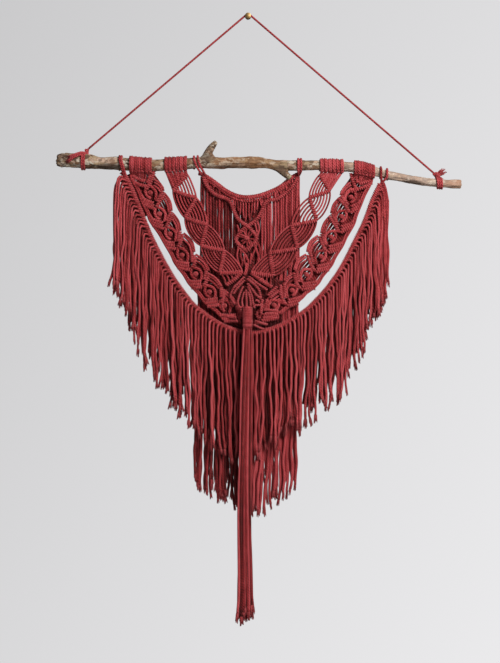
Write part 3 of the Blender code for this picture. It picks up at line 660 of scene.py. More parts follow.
# %% A row of lark's heads
def mount_row(first_x, last_x, targets, lean=0.0, pinch=0.7):
    """Cord runs of six lark's heads and the places of their cross bars."""
    xs = np.linspace(first_x + 1.4, last_x - 1.4, 2 * (len(targets) // 2))
    runs, cross_bars = bights(xs), []
    for k in range(0, len(xs), 2):
        middle = (xs[k] + xs[k + 1]) / 2
        drop, thick = branch_at(middle)
        for x, target in zip(xs[k:k + 2], targets[k:k + 2]):
            low = middle + (x - middle) * pinch + lean
            neck = at(low + (target.x * 1000 - low) * 0.12, drop + thick + 3.6, BRANCH_DEPTH + 3.5)
            runs.append((smooth(wrap(x, low, 235, -55, chance.uniform(-0.2, 0.7)) + [neck, target], 0.0035),
                         CORD * chance.uniform(0.94, 1.14)))
        cross_bars.append(frame_at(at(middle + lean, drop + thick + 1.0, BRANCH_DEPTH + 5.5), (0, 0, -1),
                                   chance.uniform(0.78, 0.9)))
    return runs, cross_bars


# %% [markdown]
# ## Frayed ends
# A cut cotton cord opens into a little brush. One brush is made from ten slim cones that lean
# outwards, and a copy is put on the end of every strand, pointing where the strand points.

# %% Brush model
def brush_model():
    hairs = []
    for k in range(10):
        turn = k * 2.4
        out = math.sqrt(k / 9)
        length = 0.0085 + 0.0025 * math.sin(k * 1.9)
        deselect()
        bpy.ops.mesh.primitive_cone_add(vertices=4, radius1=0.00045, radius2=0.00105, depth=length)
        hair = bpy.context.object
        hair.data.transform(Matrix.Translation((0, 0, 0.0015 - length / 2)))
        hair.data.transform(Matrix.Rotation(turn, 4, "Z") @ Matrix.Translation((0.0013 * out, 0, 0))
                            @ Matrix.Rotation(-0.13 * out, 4, "Y"))
        hairs.append(hair)
    brush = join(hairs)
    brush.name = "brush"
    brush.data.uv_layers[0].name = "cord"
    bpy.ops.object.shade_smooth()
    brush.hide_render = True
    return brush


brush = brush_model()
models.append(brush)


def brush_places(runs, size=1.0):
    """Where a brush goes on the end of each strand."""
    places = []
    for points, radius in runs:
        end, before = Vector(points[-1]), Vector(points[-3])
        down = (end - before).normalized()
        turn = down.to_track_quat("-Z", "Y").to_matrix().to_4x4()
        scale = size * chance.uniform(0.8, 1.2)
        places.append(Matrix.Translation(end) @ turn @ Matrix.Rotation(chance.uniform(0, 6), 4, "Z")
                      @ Matrix.Diagonal((scale, scale, scale, 1)))
    return places


# %% [markdown]
# ## The ties of the hanging cord
# At the left the cord goes twice round the branch, is knotted on top, and its tail is combed flat
# against the wood. At the right it goes round three times, and three short frayed tails stand out
# from the knot. The knot itself is a trefoil, the true shape of an overhand knot pulled tight.

# %% Ties
def overhand(centre, size, tilt):
    """Closed route of an overhand knot round a place."""
    points = []
    for k in range(40):
        t = 2 * math.pi * k / 39
        local = Vector((math.sin(t) + 2 * math.sin(2 * t), 1.1 * math.sin(3 * t),
                        math.cos(t) - 2 * math.cos(2 * t)))
        points.append(centre + Matrix.Rotation(tilt, 3, "Y") @ local * size)
    return points


left_knot, right_knot = (at(*place, BRANCH_DEPTH) for place in KNOTS)
left_runs = [
    (smooth(wrap(-264.2, -267.6, 60, -285), 0.003), 0.0019),
    (smooth(wrap(-261.0, -263.6, 75, -285), 0.003), 0.0019),
    (smooth(overhand(left_knot + at(-0.4, 1.2, 0), 0.0009, 0.4), 0.0015), 0.0014),
    (smooth(overhand(left_knot + at(-0.5, 5.0, 3.0), 0.00115, -0.6), 0.0015), 0.0016),
]
left_tail = smooth([left_knot + at(-2, 6, 5), at(-266, 224.5, 30.5), at(-272, 226.5, 31), at(-277, 228.5, 31),
                    at(-280.5, 230.5, 30.5)], 0.002)
for spread in (-1.0, 0.0, 1.0):
    fan_out = np.linspace(0.4, 1.0, len(left_tail))[:, None] * np.array(tuple(at(-0.9, 3.0, 0.2))) * spread
    left_runs.append((left_tail + fan_out, 0.0016))

left_runs.append((smooth([left_knot + at(-0.6, 4, 2), left_knot + at(0, 1.2, 0),
                          Vector(hanging_route[0])], 0.0015), 0.0016))
left_tie = lay_cords("left_tie_cords", left_runs, tones=(0.4, 1.2))
left_parts = [left_tie] + stamp(brush, brush_places(left_runs[4:7], 1.0))
left_tie = finish_piece(left_parts, "left_tie_string", "left_tie", cotton)

right_runs = [(smooth(wrap(x, x + 3.4, 100, -245), 0.003), 0.0018) for x in (302.0, 305.2, 308.4)]
right_runs.append((smooth([right_knot + at(2, 3, 1), right_knot, Vector(hanging_route[-1])], 0.0015), 0.0016))
right_runs.append((smooth(overhand(right_knot + at(3.2, 4.0, 2.0), 0.0011, 0.7), 0.0015), 0.0016))
right_runs.append((smooth(overhand(right_knot, 0.0011, -0.3), 0.0015), 0.0015))
tails = [[right_knot, at(302, 258, 22), at(305, 256.5, 23), at(307.5, 254.5, 23)],
         [right_knot, at(303, 260, 21), at(306, 258.5, 22), at(309, 257, 22)],
         [right_knot, at(301, 257, 20), at(303.5, 255, 20), at(305.5, 253, 20)]]
tail_runs = [(smooth(points, 0.0015), 0.0016) for points in tails]
right_tie = lay_cords("right_tie_cords", right_runs + tail_runs, tones=(0.5, 1.2))
right_parts = [right_tie] + stamp(brush, brush_places(tail_runs, 0.95))
right_tie = finish_piece(right_parts, "right_tie_string", "right_tie", cotton)

# %% [markdown]
# ## Diamond bands
# Each band hangs from six lark's head knots, so twelve cords come down. They are hitched in
# chevrons: close rows of half hitches on each arm. Between two chevrons the middle cords make a
# berry knot inside a ring, the outer cords run straight and the inner cords bow outwards. One band is
# a table of chevrons, read from the photograph, and the other one is its own table, because the work
# is handmade and the two sides differ.

# %% Berry model
COIL_LENGTH = 0.016
COILS = (((0.0024, 0.0013), (0, 0, 0), 0.0), ((0.0012, 0.0012), (0.0003, 0.0016, 0), 0.35))


def berry_model():
    """Knot like a berry: a round heart with a coil of cord round it and one over it."""
    parts = []
    for size, place, tilt in COILS:
        deselect()
        bpy.ops.mesh.primitive_torus_add(major_segments=16, minor_segments=6, major_radius=size[0],
                                         minor_radius=size[1], rotation=(math.pi / 2, tilt, 0))
        coil = bpy.context.object
        coil.scale = (1.12, 1, 1)
        bpy.ops.object.transform_apply(location=True, rotation=True, scale=True)
        coil.data.transform(Matrix.Translation(place))
        turn_uv(coil.data, COIL_LENGTH)
        parts.append(coil)
    berry = join(parts)
    berry.name = "berry"
    bpy.ops.object.shade_smooth()
    berry.hide_render = True
    return berry


berry = berry_model()
models.append(berry)
print("A berry is", [round(1000 * v, 1) for v in berry.dimensions], "mm")

# %% Diamond tables
DIAMOND_DEPTH = 16.5
CHEVRONS_LEFT = (
    (-186, 261, -162, 272, -153, 256, None, None), (-171, 296, -148, 309, -136, 278, -157, 286),
    (-157, 329, -133, 341, -123, 310, -142, 320), (-134, 365, -114, 373, -109, 342, -125, 352),
    (-117, 397, -91, 406, -90, 376, -106, 386), (-95, 429, -72, 434, -67, 406, -84, 416),
    (-70, 459, -45, 462, -43, 432, -62, 445), (-43, 483, -16, 488, -19, 461, -38, 467))
CHEVRONS_RIGHT = (
    (198, 267, 176, 278, 168, 260, None, None), (182, 301, 162, 315, 149, 285, 165, 293),
    (170, 334, 146, 347, 134, 314, 150, 324), (152, 368, 126, 379, 118, 346, 133, 357),
    (134, 400, 107, 410, 99, 376, 117, 388), (112, 430, 83, 438, 78, 405, 94, 417),
    (85, 454, 61, 464, 56, 430, 71, 442), (52, 478, 20, 488, 29, 458, 42, 466))
FIRST_V_LEFT = (
    ((130.8, 171), (132.5, 175), (136.5, 178.2), (140.5, 180), (145, 181)),
    ((131.2, 178.5), (134.5, 182), (139, 184.6), (145.5, 185.8)),
    ((151, 170), (150, 174.5), (148.8, 179), (147, 183)),
    ((153.7, 170.5), (153, 175.5), (151, 181), (147.5, 187), (146.3, 190)))
FIRST_V_RIGHT = (
    ((372.6, 176.5), (370, 180.2), (365, 182.2), (359, 184)),
    ((371.6, 182.5), (369, 185), (363, 187.3), (357, 189.5), (350.5, 191.7)),
    ((351.2, 173), (352.2, 179), (354, 184), (356, 188.5)),
    ((355.2, 172), (356.2, 177.5), (357.6, 183)))


# %% [markdown]
# A chevron has an outer arm of three close bars, nearly level, and an inner arm of two steep ones.
# The second steep bar runs on round the berry below as one side of its ring. The offsets below are
# in picture points from the ends of the arms. They are the same for every chevron, because the maker
# repeats the same knot, and only the tables make each one a little different.

# %% Offsets of one chevron
OUTER_ARMS = (((0.7, -0.6), (-2.2, -3.9)), ((1.6, 2.5), (-2.0, -0.9)), ((2.7, 5.4), (-1.0, 1.8)))
RING_OUTER = ((-0.5, 0.5), (-3.9, -6.0), (-4.8, -1.5), (-2.9, 2.9), (0.5, 5.6))
RING_INNER = ((1.0, -0.5), (2.4, -5.2), (5.7, -1.3), (5.9, 3.2), (4.8, 7.4))
BOWS = (((1.4, 5.2), (0.6, 2.6), 2.0), ((1.6, 8.2), (-1.0, 3.4), 1.7), ((1.0, 11.2), (-2.6, 4.8), 1.2))


def bowed(start, end, bow):
    """Route between two places with its middle moved by a bow, in metres."""
    start, end, bow = Vector(start), Vector(end), Vector(bow)
    return smooth([start, start.lerp(end, 0.28) + bow * 0.72, start.lerp(end, 0.5) + bow,
                   start.lerp(end, 0.72) + bow * 0.72, end], 0.004)


# %% Diamond band
def diamond_band(name, node, first_x, last_x, first_v, chevrons, side):
    """side is 1 where the inner edge of the band faces right, -1 where it faces left."""
    def step(base, offset, depth=0.0):
        return base + at(side * offset[0] * 1.6, offset[1] * 1.6, depth)

    rows = [[at(row[k], row[k + 1], DIAMOND_DEPTH) for k in (0, 2, 4)] for row in chevrons]
    parts, runs, behind = [], [], []
    for table, lean in zip(first_v, (1, 1, -1, -1)):
        parts += bar([spot(x, y, DIAMOND_DEPTH + 1.5) for x, y in table], lean=lean * side, size=1.12)
    for outer, apex, inner in rows[1:]:
        for from_end, to_apex in OUTER_ARMS:
            a, b = step(outer, from_end, 1.4), step(apex, to_apex, 1.9)
            parts += bar([a, a.lerp(b, 0.5) + at(0, chance.uniform(-0.4, 0.9), 0.5), b], lean=side, size=1.08)
        parts += bar([step(inner, (0.0, 3.5), 1.0), step(apex, (1.3, -5.7), 1.8)], lean=-side, size=1.1)
        parts += bar([step(inner, (2.6, 5.9), 0.8), step(apex, (3.6, -4.8), 1.8),
                      step(apex, (0.8, -0.2), 1.8)], lean=-side, size=1.1)
    back = at(0, 0, -4)
    for (outer, apex, inner), (outer2, apex2, inner2), row in zip(rows, rows[1:], chevrons[1:]):
        heart = at(row[6], row[7], DIAMOND_DEPTH + 1.6)
        parts += stamp(berry, [frame_at(heart, (apex2 - apex).normalized(), chance.uniform(1.2, 1.36))])
        for ring in (RING_OUTER, RING_INNER):
            points = [step(apex, ring[0], 1.2)] + [step(heart, o, -0.9) for o in ring[1:]]
            runs.append((smooth(points, 0.003), 0.0024))
        start, goal = step(outer, (3.6, 5.0), -0.6), step(outer2, (3.4, 0.2), -0.6)
        runs.append((bowed(start, goal, at(-side * 0.8, 0.8, -1.0)), CORD))
        for share in (0.36, 0.5, 0.64, 0.78, 0.92):
            start, goal = outer.lerp(apex, share), outer2.lerp(apex2, share)
            behind.append((bowed(start + back, goal + back, at(0, 0, -1)), CORD * 1.25))
        for share in (0.3, 0.48, 0.66, 0.84, 1.0):
            start, goal = inner.lerp(apex, share), inner2.lerp(apex2, share * 0.96)
            behind.append((bowed(start + back, goal + back, at(side * 1.2, -1.0, -1)), CORD * 1.3))
        for leave, arrive, bow in BOWS:
            wide = 2.2 if row is chevrons[4] or row is chevrons[5] else 0.0
            start = step(inner, (leave[0] + wide, leave[1]), -0.6)
            goal = step(inner2, (arrive[0] + wide, arrive[1]), -0.4)
            way = (goal - start).normalized()
            swing = Vector((-way.z, 0, way.x)) * side * (bow + wide * 0.5)
            runs.append((bowed(start, goal, swing * 0.0016), CORD))
            behind.append((bowed(start + back, goal + back, swing * 0.0010), CORD * 0.9))
    rim = [spot(*first_v[0][0], DIAMOND_DEPTH + 1.5), spot(*first_v[1][0], DIAMOND_DEPTH + 2.2)]
    for (outer, _, _), (outer2, _, _) in zip(rows, rows[1:]):
        way = (outer2 - outer).normalized()
        rim.append(outer.lerp(outer2, 0.62) - Vector((way.z, 0, -way.x)) * side * 0.0004 + at(0, 1.2, 1.6))
        rim.append(step(outer2, (0.1, 1.5), 2.6))
    for inward in (0.0, 2.9):
        inside = [place + at(side * inward * 0.9, -inward * 0.45, -0.5 * inward) for place in rim]
        runs.append((smooth(inside, 0.004), CORD * 1.05))
    arm = [spot(*point, DIAMOND_DEPTH) for point in first_v[0]]
    steep = [spot(*point, DIAMOND_DEPTH) for point in first_v[2]]
    targets = [arm[0].lerp(arm[-1], k / 8) for k in range(9)] + [steep[1], steep[0].lerp(steep[1], 0.4),
                                                                 spot(*first_v[3][0], DIAMOND_DEPTH)]
    if side < 0:
        targets = targets[::-1]
    for k in range(9):
        x = first_x + 2 + (last_x - first_x - 4) * k / 8
        drop, thick = branch_at(x)
        share = k / 8 if side > 0 else 1 - k / 8
        goal = rows[1][0].lerp(rows[1][2], share) + at(0, 4 if 0.2 < share < 0.8 else 0, -4)
        behind.append((bowed(at(x, drop + thick - 1, DIAMOND_DEPTH - 4), goal, at(0, 0, -1)), CORD * 1.2))
    mounted, cross_bars = mount_row(first_x, last_x, targets, lean=0.3 * side, pinch=0.92)
    runs += mounted
    parts += stamp(larks_head, cross_bars)
    outer, apex, inner = rows[-1]
    for k in range(8):
        start = outer.lerp(apex, k / 7) if k < 6 else apex.lerp(inner, (k - 5) / 3)
        goal = at(side * (-20 + 2.4 * k), 497 + 0.8 * k, 11 - 0.5 * (k % 3))
        (behind if side > 0 and k % 2 else runs).append((bowed(start, goal, at(-side * 1.5, 3.0, 0)), CORD))
    # Backing cords get dark tones: painted shade behind the knots. The left band and its backing get lower
    # tones than the right ones: painted shade on the left, painted light on the right.
    parts.append(lay_cords(name + "_behind", behind, 6, (-0.85, -0.5) if side > 0 else (-0.6, -0.1)))
    parts.append(lay_cords(name, runs, 8, (0, 1) if side > 0 else (0.1, 1.2)))
    return finish_piece(parts, name, node, cotton)


diamond_band("left_diamond_cords", "diamond_band_left", -190, -154, FIRST_V_LEFT,
             CHEVRONS_LEFT, 1)
diamond_band("right_diamond_cords", "diamond_band_right", 170, 203, FIRST_V_RIGHT,
             CHEVRONS_RIGHT, -1)

# %% [markdown]
# ## Fan bands
# The second pair of bands is one zigzag. The holding cord runs from edge to edge, and at each turn
# the working cords fan round the corner as nested arcs. A cord that turns round a corner at a fixed
# distance is a circle, so each arc is drawn by turning its start round the hinge.

# %% Fan bands
FAN_DEPTH = 19.0
FAN_LEFT = ((-97, 257), (-120, 282), (-83, 294), (-101, 326), (-66, 337), (-75, 371), (-38, 378),
            (-45, 414), (-8.8, 413), (-35, 434))
FAN_RIGHT = ((115, 257), (131, 283), (98, 294), (110, 330), (70, 338), (79, 375), (35, 382),
             (40, 419), (4.8, 414), (38, 437))


def fan_arc(hinge, first, last, part, bulge):
    """Arc round a hinge from a share of the way along one bar to the same share of the next."""
    start, end = (first - hinge) * part, (last - hinge) * part
    from_turn, to_turn = (math.atan2(arm.z, arm.x) for arm in (start, end))
    sweep = (to_turn - from_turn + math.pi) % (2 * math.pi) - math.pi
    points = []
    for step in range(9):
        t = step / 8
        turn = from_turn + sweep * t
        reach = start.length + (end.length - start.length) * t
        reach *= 1 - 0.12 * math.sin(math.pi * t)
        points.append(hinge + Vector((math.cos(turn), 0, math.sin(turn))) * reach
                      + at(0, 0, bulge * math.sin(math.pi * t)))
    return points


def fan_band(name, node, first_x, last_x, corners, lean, first_closed):
    places = [at(*corner, FAN_DEPTH) for corner in corners]
    parts, runs, behind = [], [], []
    front = at(0, 0, 1.0)
    for first, last in zip(places, places[1:]):
        sag = at(0, chance.uniform(0.2, 1.0), 0)
        parts += bar([first + front, first.lerp(last, 0.5) + front + sag, last + front],
                     lean=1 if last.x > first.x else -1, size=1.26)
    for k, (first, hinge, last) in enumerate(zip(places, places[1:], places[2:])):
        count, thick = (7, 0.9) if k < 3 else (8, 0.78) if k < len(places) - 3 else (5, 0.8)
        for step in range(count):
            part = (step + 0.9) / (count - 0.1)
            points = fan_arc(hinge, first, last, min(part, 1.0), chance.uniform(-0.8, 0.6))
            runs.append((smooth(points, 0.0035), CORD * thick * chance.uniform(0.94, 1.06)))
            if k >= first_closed and step and count > 5:
                points = fan_arc(hinge, first, last, part - 0.5 / count, -1.0)
                behind.append((smooth([point + at(0, 0, -3.0) for point in points], 0.004), CORD))
    targets = [places[0].lerp(places[1], (k + 0.3) / 11.5) + at(0, 0, 0.8 * (-1) ** k) for k in range(12)]
    if places[1].x < places[0].x:
        targets = targets[::-1]
    mounted, cross_bars = mount_row(first_x, last_x, targets, lean)
    parts += stamp(larks_head, cross_bars)
    # The arcs behind get dark tones: painted shade between the arcs in front.
    parts.append(lay_cords(name + "_behind", behind, 6, PAINTED_SHADE))
    parts.append(lay_cords(name, runs, 8))
    # The right mount gets higher tones than the left one: painted light on the right.
    parts.append(lay_cords(name + "_mount", mounted, 8, (0, 1) if first_x < 0 else (0.3, 1.4)))
    return finish_piece(parts, name, node, cotton)


fan_band("left_fan_cords", "fan_band_left", -134, -98, FAN_LEFT, 0.4, 1)
fan_band("right_fan_cords", "fan_band_right", 114, 152, FAN_RIGHT, 1.2, 3)

# %% [markdown]
# ## The centre panel
# A cord is slung between two loops on the branch, and lark's heads cover it from end to end. Below
# it two hitched cords come in from the sides, cross in a V and close into a diamond with a knot in
# it. The long cords of the panel hang straight down behind everything and end as the back fringe.
# Backing strands stand behind them. Those are guessed: they only keep bright gaps from showing,
# and their dark tones are painted shade between the cords.

# %% Centre panel tables
SWAG = ((-79, 253.5), (-69, 258), (-54, 268), (-32, 284), (-10, 292), (13, 291), (35, 284), (53, 275),
        (70, 261), (82, 254.5))
CROSSING_LEFT = ((203, 174.5), (204.2, 180), (208, 187.5), (214.6, 193.8), (222, 197), (226, 198.2),
                 (229.5, 200.7), (232, 205), (233.7, 210.5), (236.7, 217), (242, 222.4), (247, 225.6),
                 (252, 230.5), (256, 235.5), (256.6, 239), (254.2, 242.6), (250, 246.5), (247.5, 250))
CROSSING_RIGHT = ((297, 174), (296.5, 180), (290, 189), (281.5, 196), (277, 198.8), (270, 199.8),
                  (266, 201.7),
                  (263, 208), (260, 214), (256, 219.6), (250, 224.2), (243.5, 228.6), (239, 234),
                  (235.8, 238.3), (235.8, 241), (239, 244.5), (243.5, 248), (247.5, 251.5))
V_STRANDS = (232.8, 235.3, 237.5, 240.5, 243.2, 246, 249, 252, 254.6, 257.6, 260.4)
LEFT_STRANDS = (201.2, 203.6, 207.4, 210.6, 213.2, 216.2, 219.4, 222.4, 225.4, 228.6, 231.2)
RIGHT_STRANDS = (262.2, 265.2, 268.2, 270.8, 275.6, 278.2, 281, 283.6, 286.6, 290.2, 292.6, 295, 297.4, 299.2)
TUFTS = (-84, -66, -42, -22, 14, 30, 44, 60, 74)
BACKING_STRANDS = 38
LOW_STRANDS = 46
BACK_ENDS = ((-88, 747), (-66, 765), (-38, 773), (-15, 789), (19, 795), (38, 776), (66, 766), (75, 750))


def read_off(table, x):
    return float(np.interp(x, [row[0] for row in table], [row[1] for row in table]))


def hang(top, end_x, end_drop, depth, sway=1.2, ripple=0.45, step=0.0075, lean_depth=0.0):
    """Route of a strand that hangs from a place to an end, with slow sway and small ripples."""
    first = np.array(tuple(top))
    last = np.array(tuple(at(end_x, end_drop, depth + lean_depth)))
    length = np.linalg.norm(last - first)
    t = np.linspace(0, 1, max(4, round(length / step)))[:, None]
    points = first + (last - first) * t
    slow, quick = chance.uniform(75, 130), chance.uniform(30, 52)
    a, b, c = (chance.uniform(0, 6.28) for _ in range(3))
    run = t[:, 0] * length * 1000
    ease = np.minimum(1, run / 35)
    points[:, 0] += 0.001 * ease * (sway * np.sin(run / slow * 6.28 + a)
                                    + ripple * np.sin(run / quick * 6.28 + b))
    points[:, 1] += 0.001 * ease * 0.8 * sway * np.sin(run / slow * 6.28 + c)
    flick = np.maximum(0, (run - run[-1] + 14) / 14) ** 2
    points[:, 0] += 0.001 * flick * chance.uniform(-2.2, 2.2)
    return points


# %% Centre panel
CENTRE_DEPTH = 9.0
panel_parts, panel_runs, panel_back, panel_hang, painted_light_low, painted_shade_low = [], [], [], [], [], []
swag_route = [at(*place, 12.0) for place in SWAG]
panel_parts += bar(swag_route, model=larks_head, pitch=0.0034, size=1.05)
panel_runs.append((smooth([p + at(0, -1.4, 1.4) for p in swag_route], 0.004), CORD * 1.1))
lower_edge = smooth([p + at(0, 4.2, -0.8) for p in swag_route[1:-1]], 0.0043)
for place, way in zip(lower_edge, np.diff(lower_edge, axis=0)):
    tilt = Vector((-way[2] * 0.6 + 0.0012, 0, -0.0042))
    panel_runs.append((smooth([Vector(place) - tilt * 0.9, Vector(place) + at(0, 0, 0.8),
                               Vector(place) + tilt * 0.9], 0.002), CORD * 1.05))
for table, lean in ((CROSSING_LEFT, 1), (CROSSING_RIGHT, -1)):
    panel_parts += bar([spot(*place, 14.2 if lean > 0 else 13.2) for place in table], lean=lean, size=1.16)

for x in V_STRANDS:
    low = 222.5 - abs(x - 247) * 1.25
    top = spot(x, read_off(SWAG, (x - 248) * 1.6) / 1.6 + 16.5, CENTRE_DEPTH + 1)
    panel_runs.append((hang(top, (x - 248) * 1.6, (low - 14) * 1.6, CENTRE_DEPTH + 3, 0.5, 0.2), CORD * 0.85))
    panel_back.append((hang(top + at(2.2, 0, -3.5), (x - 248) * 1.6 + 2.2, 424, 4.6, 0.3, 0.1), 0.0026))
for k in range(BACKING_STRANDS):
    x = -78 + 4.1 * k
    top = 372 + 14 * chance.random() + (18 if abs(x) < 16 else 0) + (24 if abs(x) > 36 else 0)
    foot = 575 + 19 * (k * 3 % 5)
    depth = 4.4 + 2.2 * (k % 2)
    panel_back.append((hang(at(x, top, depth), x * 1.02, foot, depth, 0.8, 0.3), 0.0023))
for k in range(LOW_STRANDS):
    x = -84 + 3.4 * k + chance.uniform(-1.5, 1.5)
    end = read_off(BACK_ENDS, x) - chance.uniform(8, 55)
    start = 530 + 21 * (k * 2 % 5) + 6 * chance.random()
    strand = hang(at(x, start, 5.4), x + chance.uniform(-3, 3), end, 5.4, 1.6, 0.4)
    # Low strands at the left get painted shade and those at the right painted light.
    (painted_shade_low if x < -12 else painted_light_low).append((strand, 0.0022))
for table in (((246.6, 227), (246.2, 232), (246.5, 238), (247, 243), (247.4, 248)),
              ((243.8, 229.5), (245.2, 234), (247, 238), (249, 242), (250.5, 245)),
              ((250, 230), (248.4, 234), (246.4, 238), (244, 241.5), (242.5, 244)),
              ((240, 236.5), (243, 237.2), (246.5, 238), (250.5, 238.6), (254.5, 239)),
              ((241, 241), (244, 239.6), (246.5, 238.2)), ((240.8, 234.6), (243.5, 235.2), (246.5, 237.6)),
              ((252.4, 233), (250, 235.4), (247, 237.8)), ((252.6, 243.6), (250.4, 241), (247, 238.6)),
              ((243.2, 243.5), (245, 241), (246.6, 238.6))):
    panel_runs.append((smooth([spot(*place, 13.2) for place in table], 0.003), CORD * 0.85))
panel_parts += stamp(berry, [frame_at(spot(246.6, 238, 15.4), (0, 0, -1), 1.2)])
for table, thick in ((((237.5, 246.6), (240.5, 249.2), (243.8, 252.3), (247, 257.8), (248.8, 262.5)), 1.05),
                     (((256.6, 241), (255.6, 247), (253.4, 253), (251.5, 258), (249.2, 262.5)), 1.05),
                     (((257.2, 241.5), (259.6, 247), (259.8, 253), (258.2, 258), (257, 262)), 1.0),
                     (((254.8, 245), (257, 251), (258.8, 257), (259, 262)), 1.0),
                     (((257.4, 221), (259.3, 228.5), (257.4, 235.5)), 0.9),
                     (((255, 222.6), (256, 227), (257.2, 232.5)), 0.85),
                     (((237, 224.5), (238.6, 229), (238.2, 233)), 0.85),
                     (((241, 250), (240.4, 255), (242.2, 261), (241.6, 267)), 0.95),
                     (((238.4, 248), (237.2, 252.5), (237.4, 258.5), (240, 266.5)), 0.9),
                     (((244.5, 253.5), (244, 259), (245.8, 266)), 0.9),
                     (((251.5, 253), (250.8, 258), (250.2, 264)), 0.95)):
    panel_runs.append((smooth([spot(*place, 12.6) for place in table], 0.0035), CORD * thick))

tops = sorted([(x, 0) for x in LEFT_STRANDS + RIGHT_STRANDS]
              + [((a + b) / 2 + 0.4, 1) for table in (LEFT_STRANDS, RIGHT_STRANDS)
                 for a, b in zip(table, table[1:])])
for k, (x, layer) in enumerate(tops):
    end_x = -88 + 163 * k / (len(tops) - 1) + chance.uniform(-3, 3)
    tuft = min(TUFTS, key=lambda middle: abs(middle - end_x))
    end_x += (tuft - end_x) * (0.3 if end_x < 30 else 0.15)
    end = read_off(BACK_ENDS, end_x) + chance.uniform(-16, 8)
    depth = (CENTRE_DEPTH + (1.3 if k % 4 < 2 else -1.0)) if layer == 0 else 4.6
    x_mm = (x - 248) * 1.6
    top = at(x_mm, max(250, read_off(SWAG, x_mm)) + 4, depth + (1 if layer == 0 else 3))
    upper = hang(top, x_mm + chance.uniform(-0.8, 0.8), 404, depth, 0.4, 0.2)
    lower = hang(upper[-1], end_x, end, depth + 0.5, 1.3, 0.35)
    whole = np.vstack([upper, lower[1:]])
    panel_hang.append((whole, np.interp(np.linspace(0, 1, len(whole)), (0, 0.3, 0.5, 1),
                                        (0.0016 + 0.0004 * layer, 0.0019, 0.0021, 0.0022))))
for x in (-86.5, -80.5):
    panel_runs.append((smooth(wrap(x, x, 235, 30) + [round_branch(x + 2, 0), round_branch(x + 4.5, -40),
                              at(x + 8.5, 251, 24), at(x + 12.5, 258, 15)], 0.0035), CORD * 1.1))
for x in (80.4, 84.6):
    panel_runs.append((smooth(wrap(x, x, 235, -40) + [at(x, 252, 24), at(82, 257, 15)], 0.0035), CORD * 1.25))
panel_cords = lay_cords("panel_cords", panel_runs, 8)
# The panel's strands at the left get painted shade and those at the right painted light; the backing strands
# get painted shade.
painted_shade_strands = [run for run in panel_hang if run[0][0][0] < -0.02]
painted_light_strands = [run for run in panel_hang if run[0][0][0] >= -0.02]
panel_parts += [lay_cords("panel_left", painted_shade_strands, 8, (-0.9, 0.25)),
                lay_cords("panel_right", painted_light_strands, 8, (0.25, 1.4)),
                lay_cords("painted_light_low", painted_light_low, 6, (0.1, 1.2)),
                lay_cords("panel_back", panel_back + painted_shade_low, 6, PAINTED_SHADE)]
panel_parts += stamp(brush, brush_places(panel_hang + painted_light_low + painted_shade_low, 1.1))
finish_piece([panel_cords] + panel_parts, "centre_panel_cords", "centre_panel", cotton)

# %% [markdown]
# ## The outer rope and its fringe
# The rope is looped over the branch at both ends and hitched all the way, and each hitch lets two
# strands go. They leave square to the rope, arch over and fall. The strands are the biggest job of
# the scene, so one rule makes all but the few at the two ends: a root on the rope, a shoulder away
# from it, a fall to the hem line read off the photograph, and a small brush at the end. The seeded
# chance gives each its own sway. A deep layer of guessed strands, darker by painted shade, closes
# the gaps.

# %% Rope and fringe tables
ROPE = ((-197, 259), (-192, 268), (-186, 280), (-173, 312), (-158, 349), (-142, 382), (-122, 418),
        (-101, 448), (-82, 470), (-50, 493), (-26, 504), (-2, 510), (11, 510), (34, 505),
        (57, 496), (81, 482), (97, 470), (113, 454), (127, 438), (143, 416), (156, 394), (174, 358),
        (187, 331), (199, 298), (208, 279))
ROPE_DEPTH = 20.0
FRINGE_ENDS = ((-219, 430), (-209, 442), (-195, 475), (-184, 506), (-170, 547), (-146, 578), (-134, 608),
               (-106, 638), (-90, 666), (-55, 688), (-34, 707), (22, 700), (43, 682), (67, 662), (86, 660),
               (113, 632), (133, 622), (154, 600), (163, 575), (176, 547), (198, 492), (209, 482), (222, 440))
SHOULDERS = ((-198, -217), (-186, -205), (-165, -181), (-145, -152), (-100, -104), (-50, -52), (0, 0),
             (50, 52), (100, 103), (148, 152), (172, 181), (195, 210), (209, 221))
KNOT_PAIRS = 98
MIDDLE_BACKING = 12

# %% Rope and fringe
rope_route = smooth([at(*place, ROPE_DEPTH) for place in ROPE], 0.001)
rope_runs = []
rope_parts = bar([at(-202, 253, 22)] + [at(*place, ROPE_DEPTH) for place in ROPE] + [at(211, 272, 21)],
                 lean=1, size=1.36, pitch=0.0031)
edge = np.array(rope_route)
edge_way = np.gradient(edge, axis=0)
edge_way /= np.linalg.norm(edge_way, axis=1)[:, None]
outward = np.column_stack([edge_way[:, 2], np.zeros(len(edge)), -edge_way[:, 0]])
outward *= -np.sign(outward[:, 2:3])


def back_cord(route):
    """A cord behind the rope, through every eighth point of a route."""
    return smooth([Vector(place) for place in route[::8]], 0.004), 0.0024


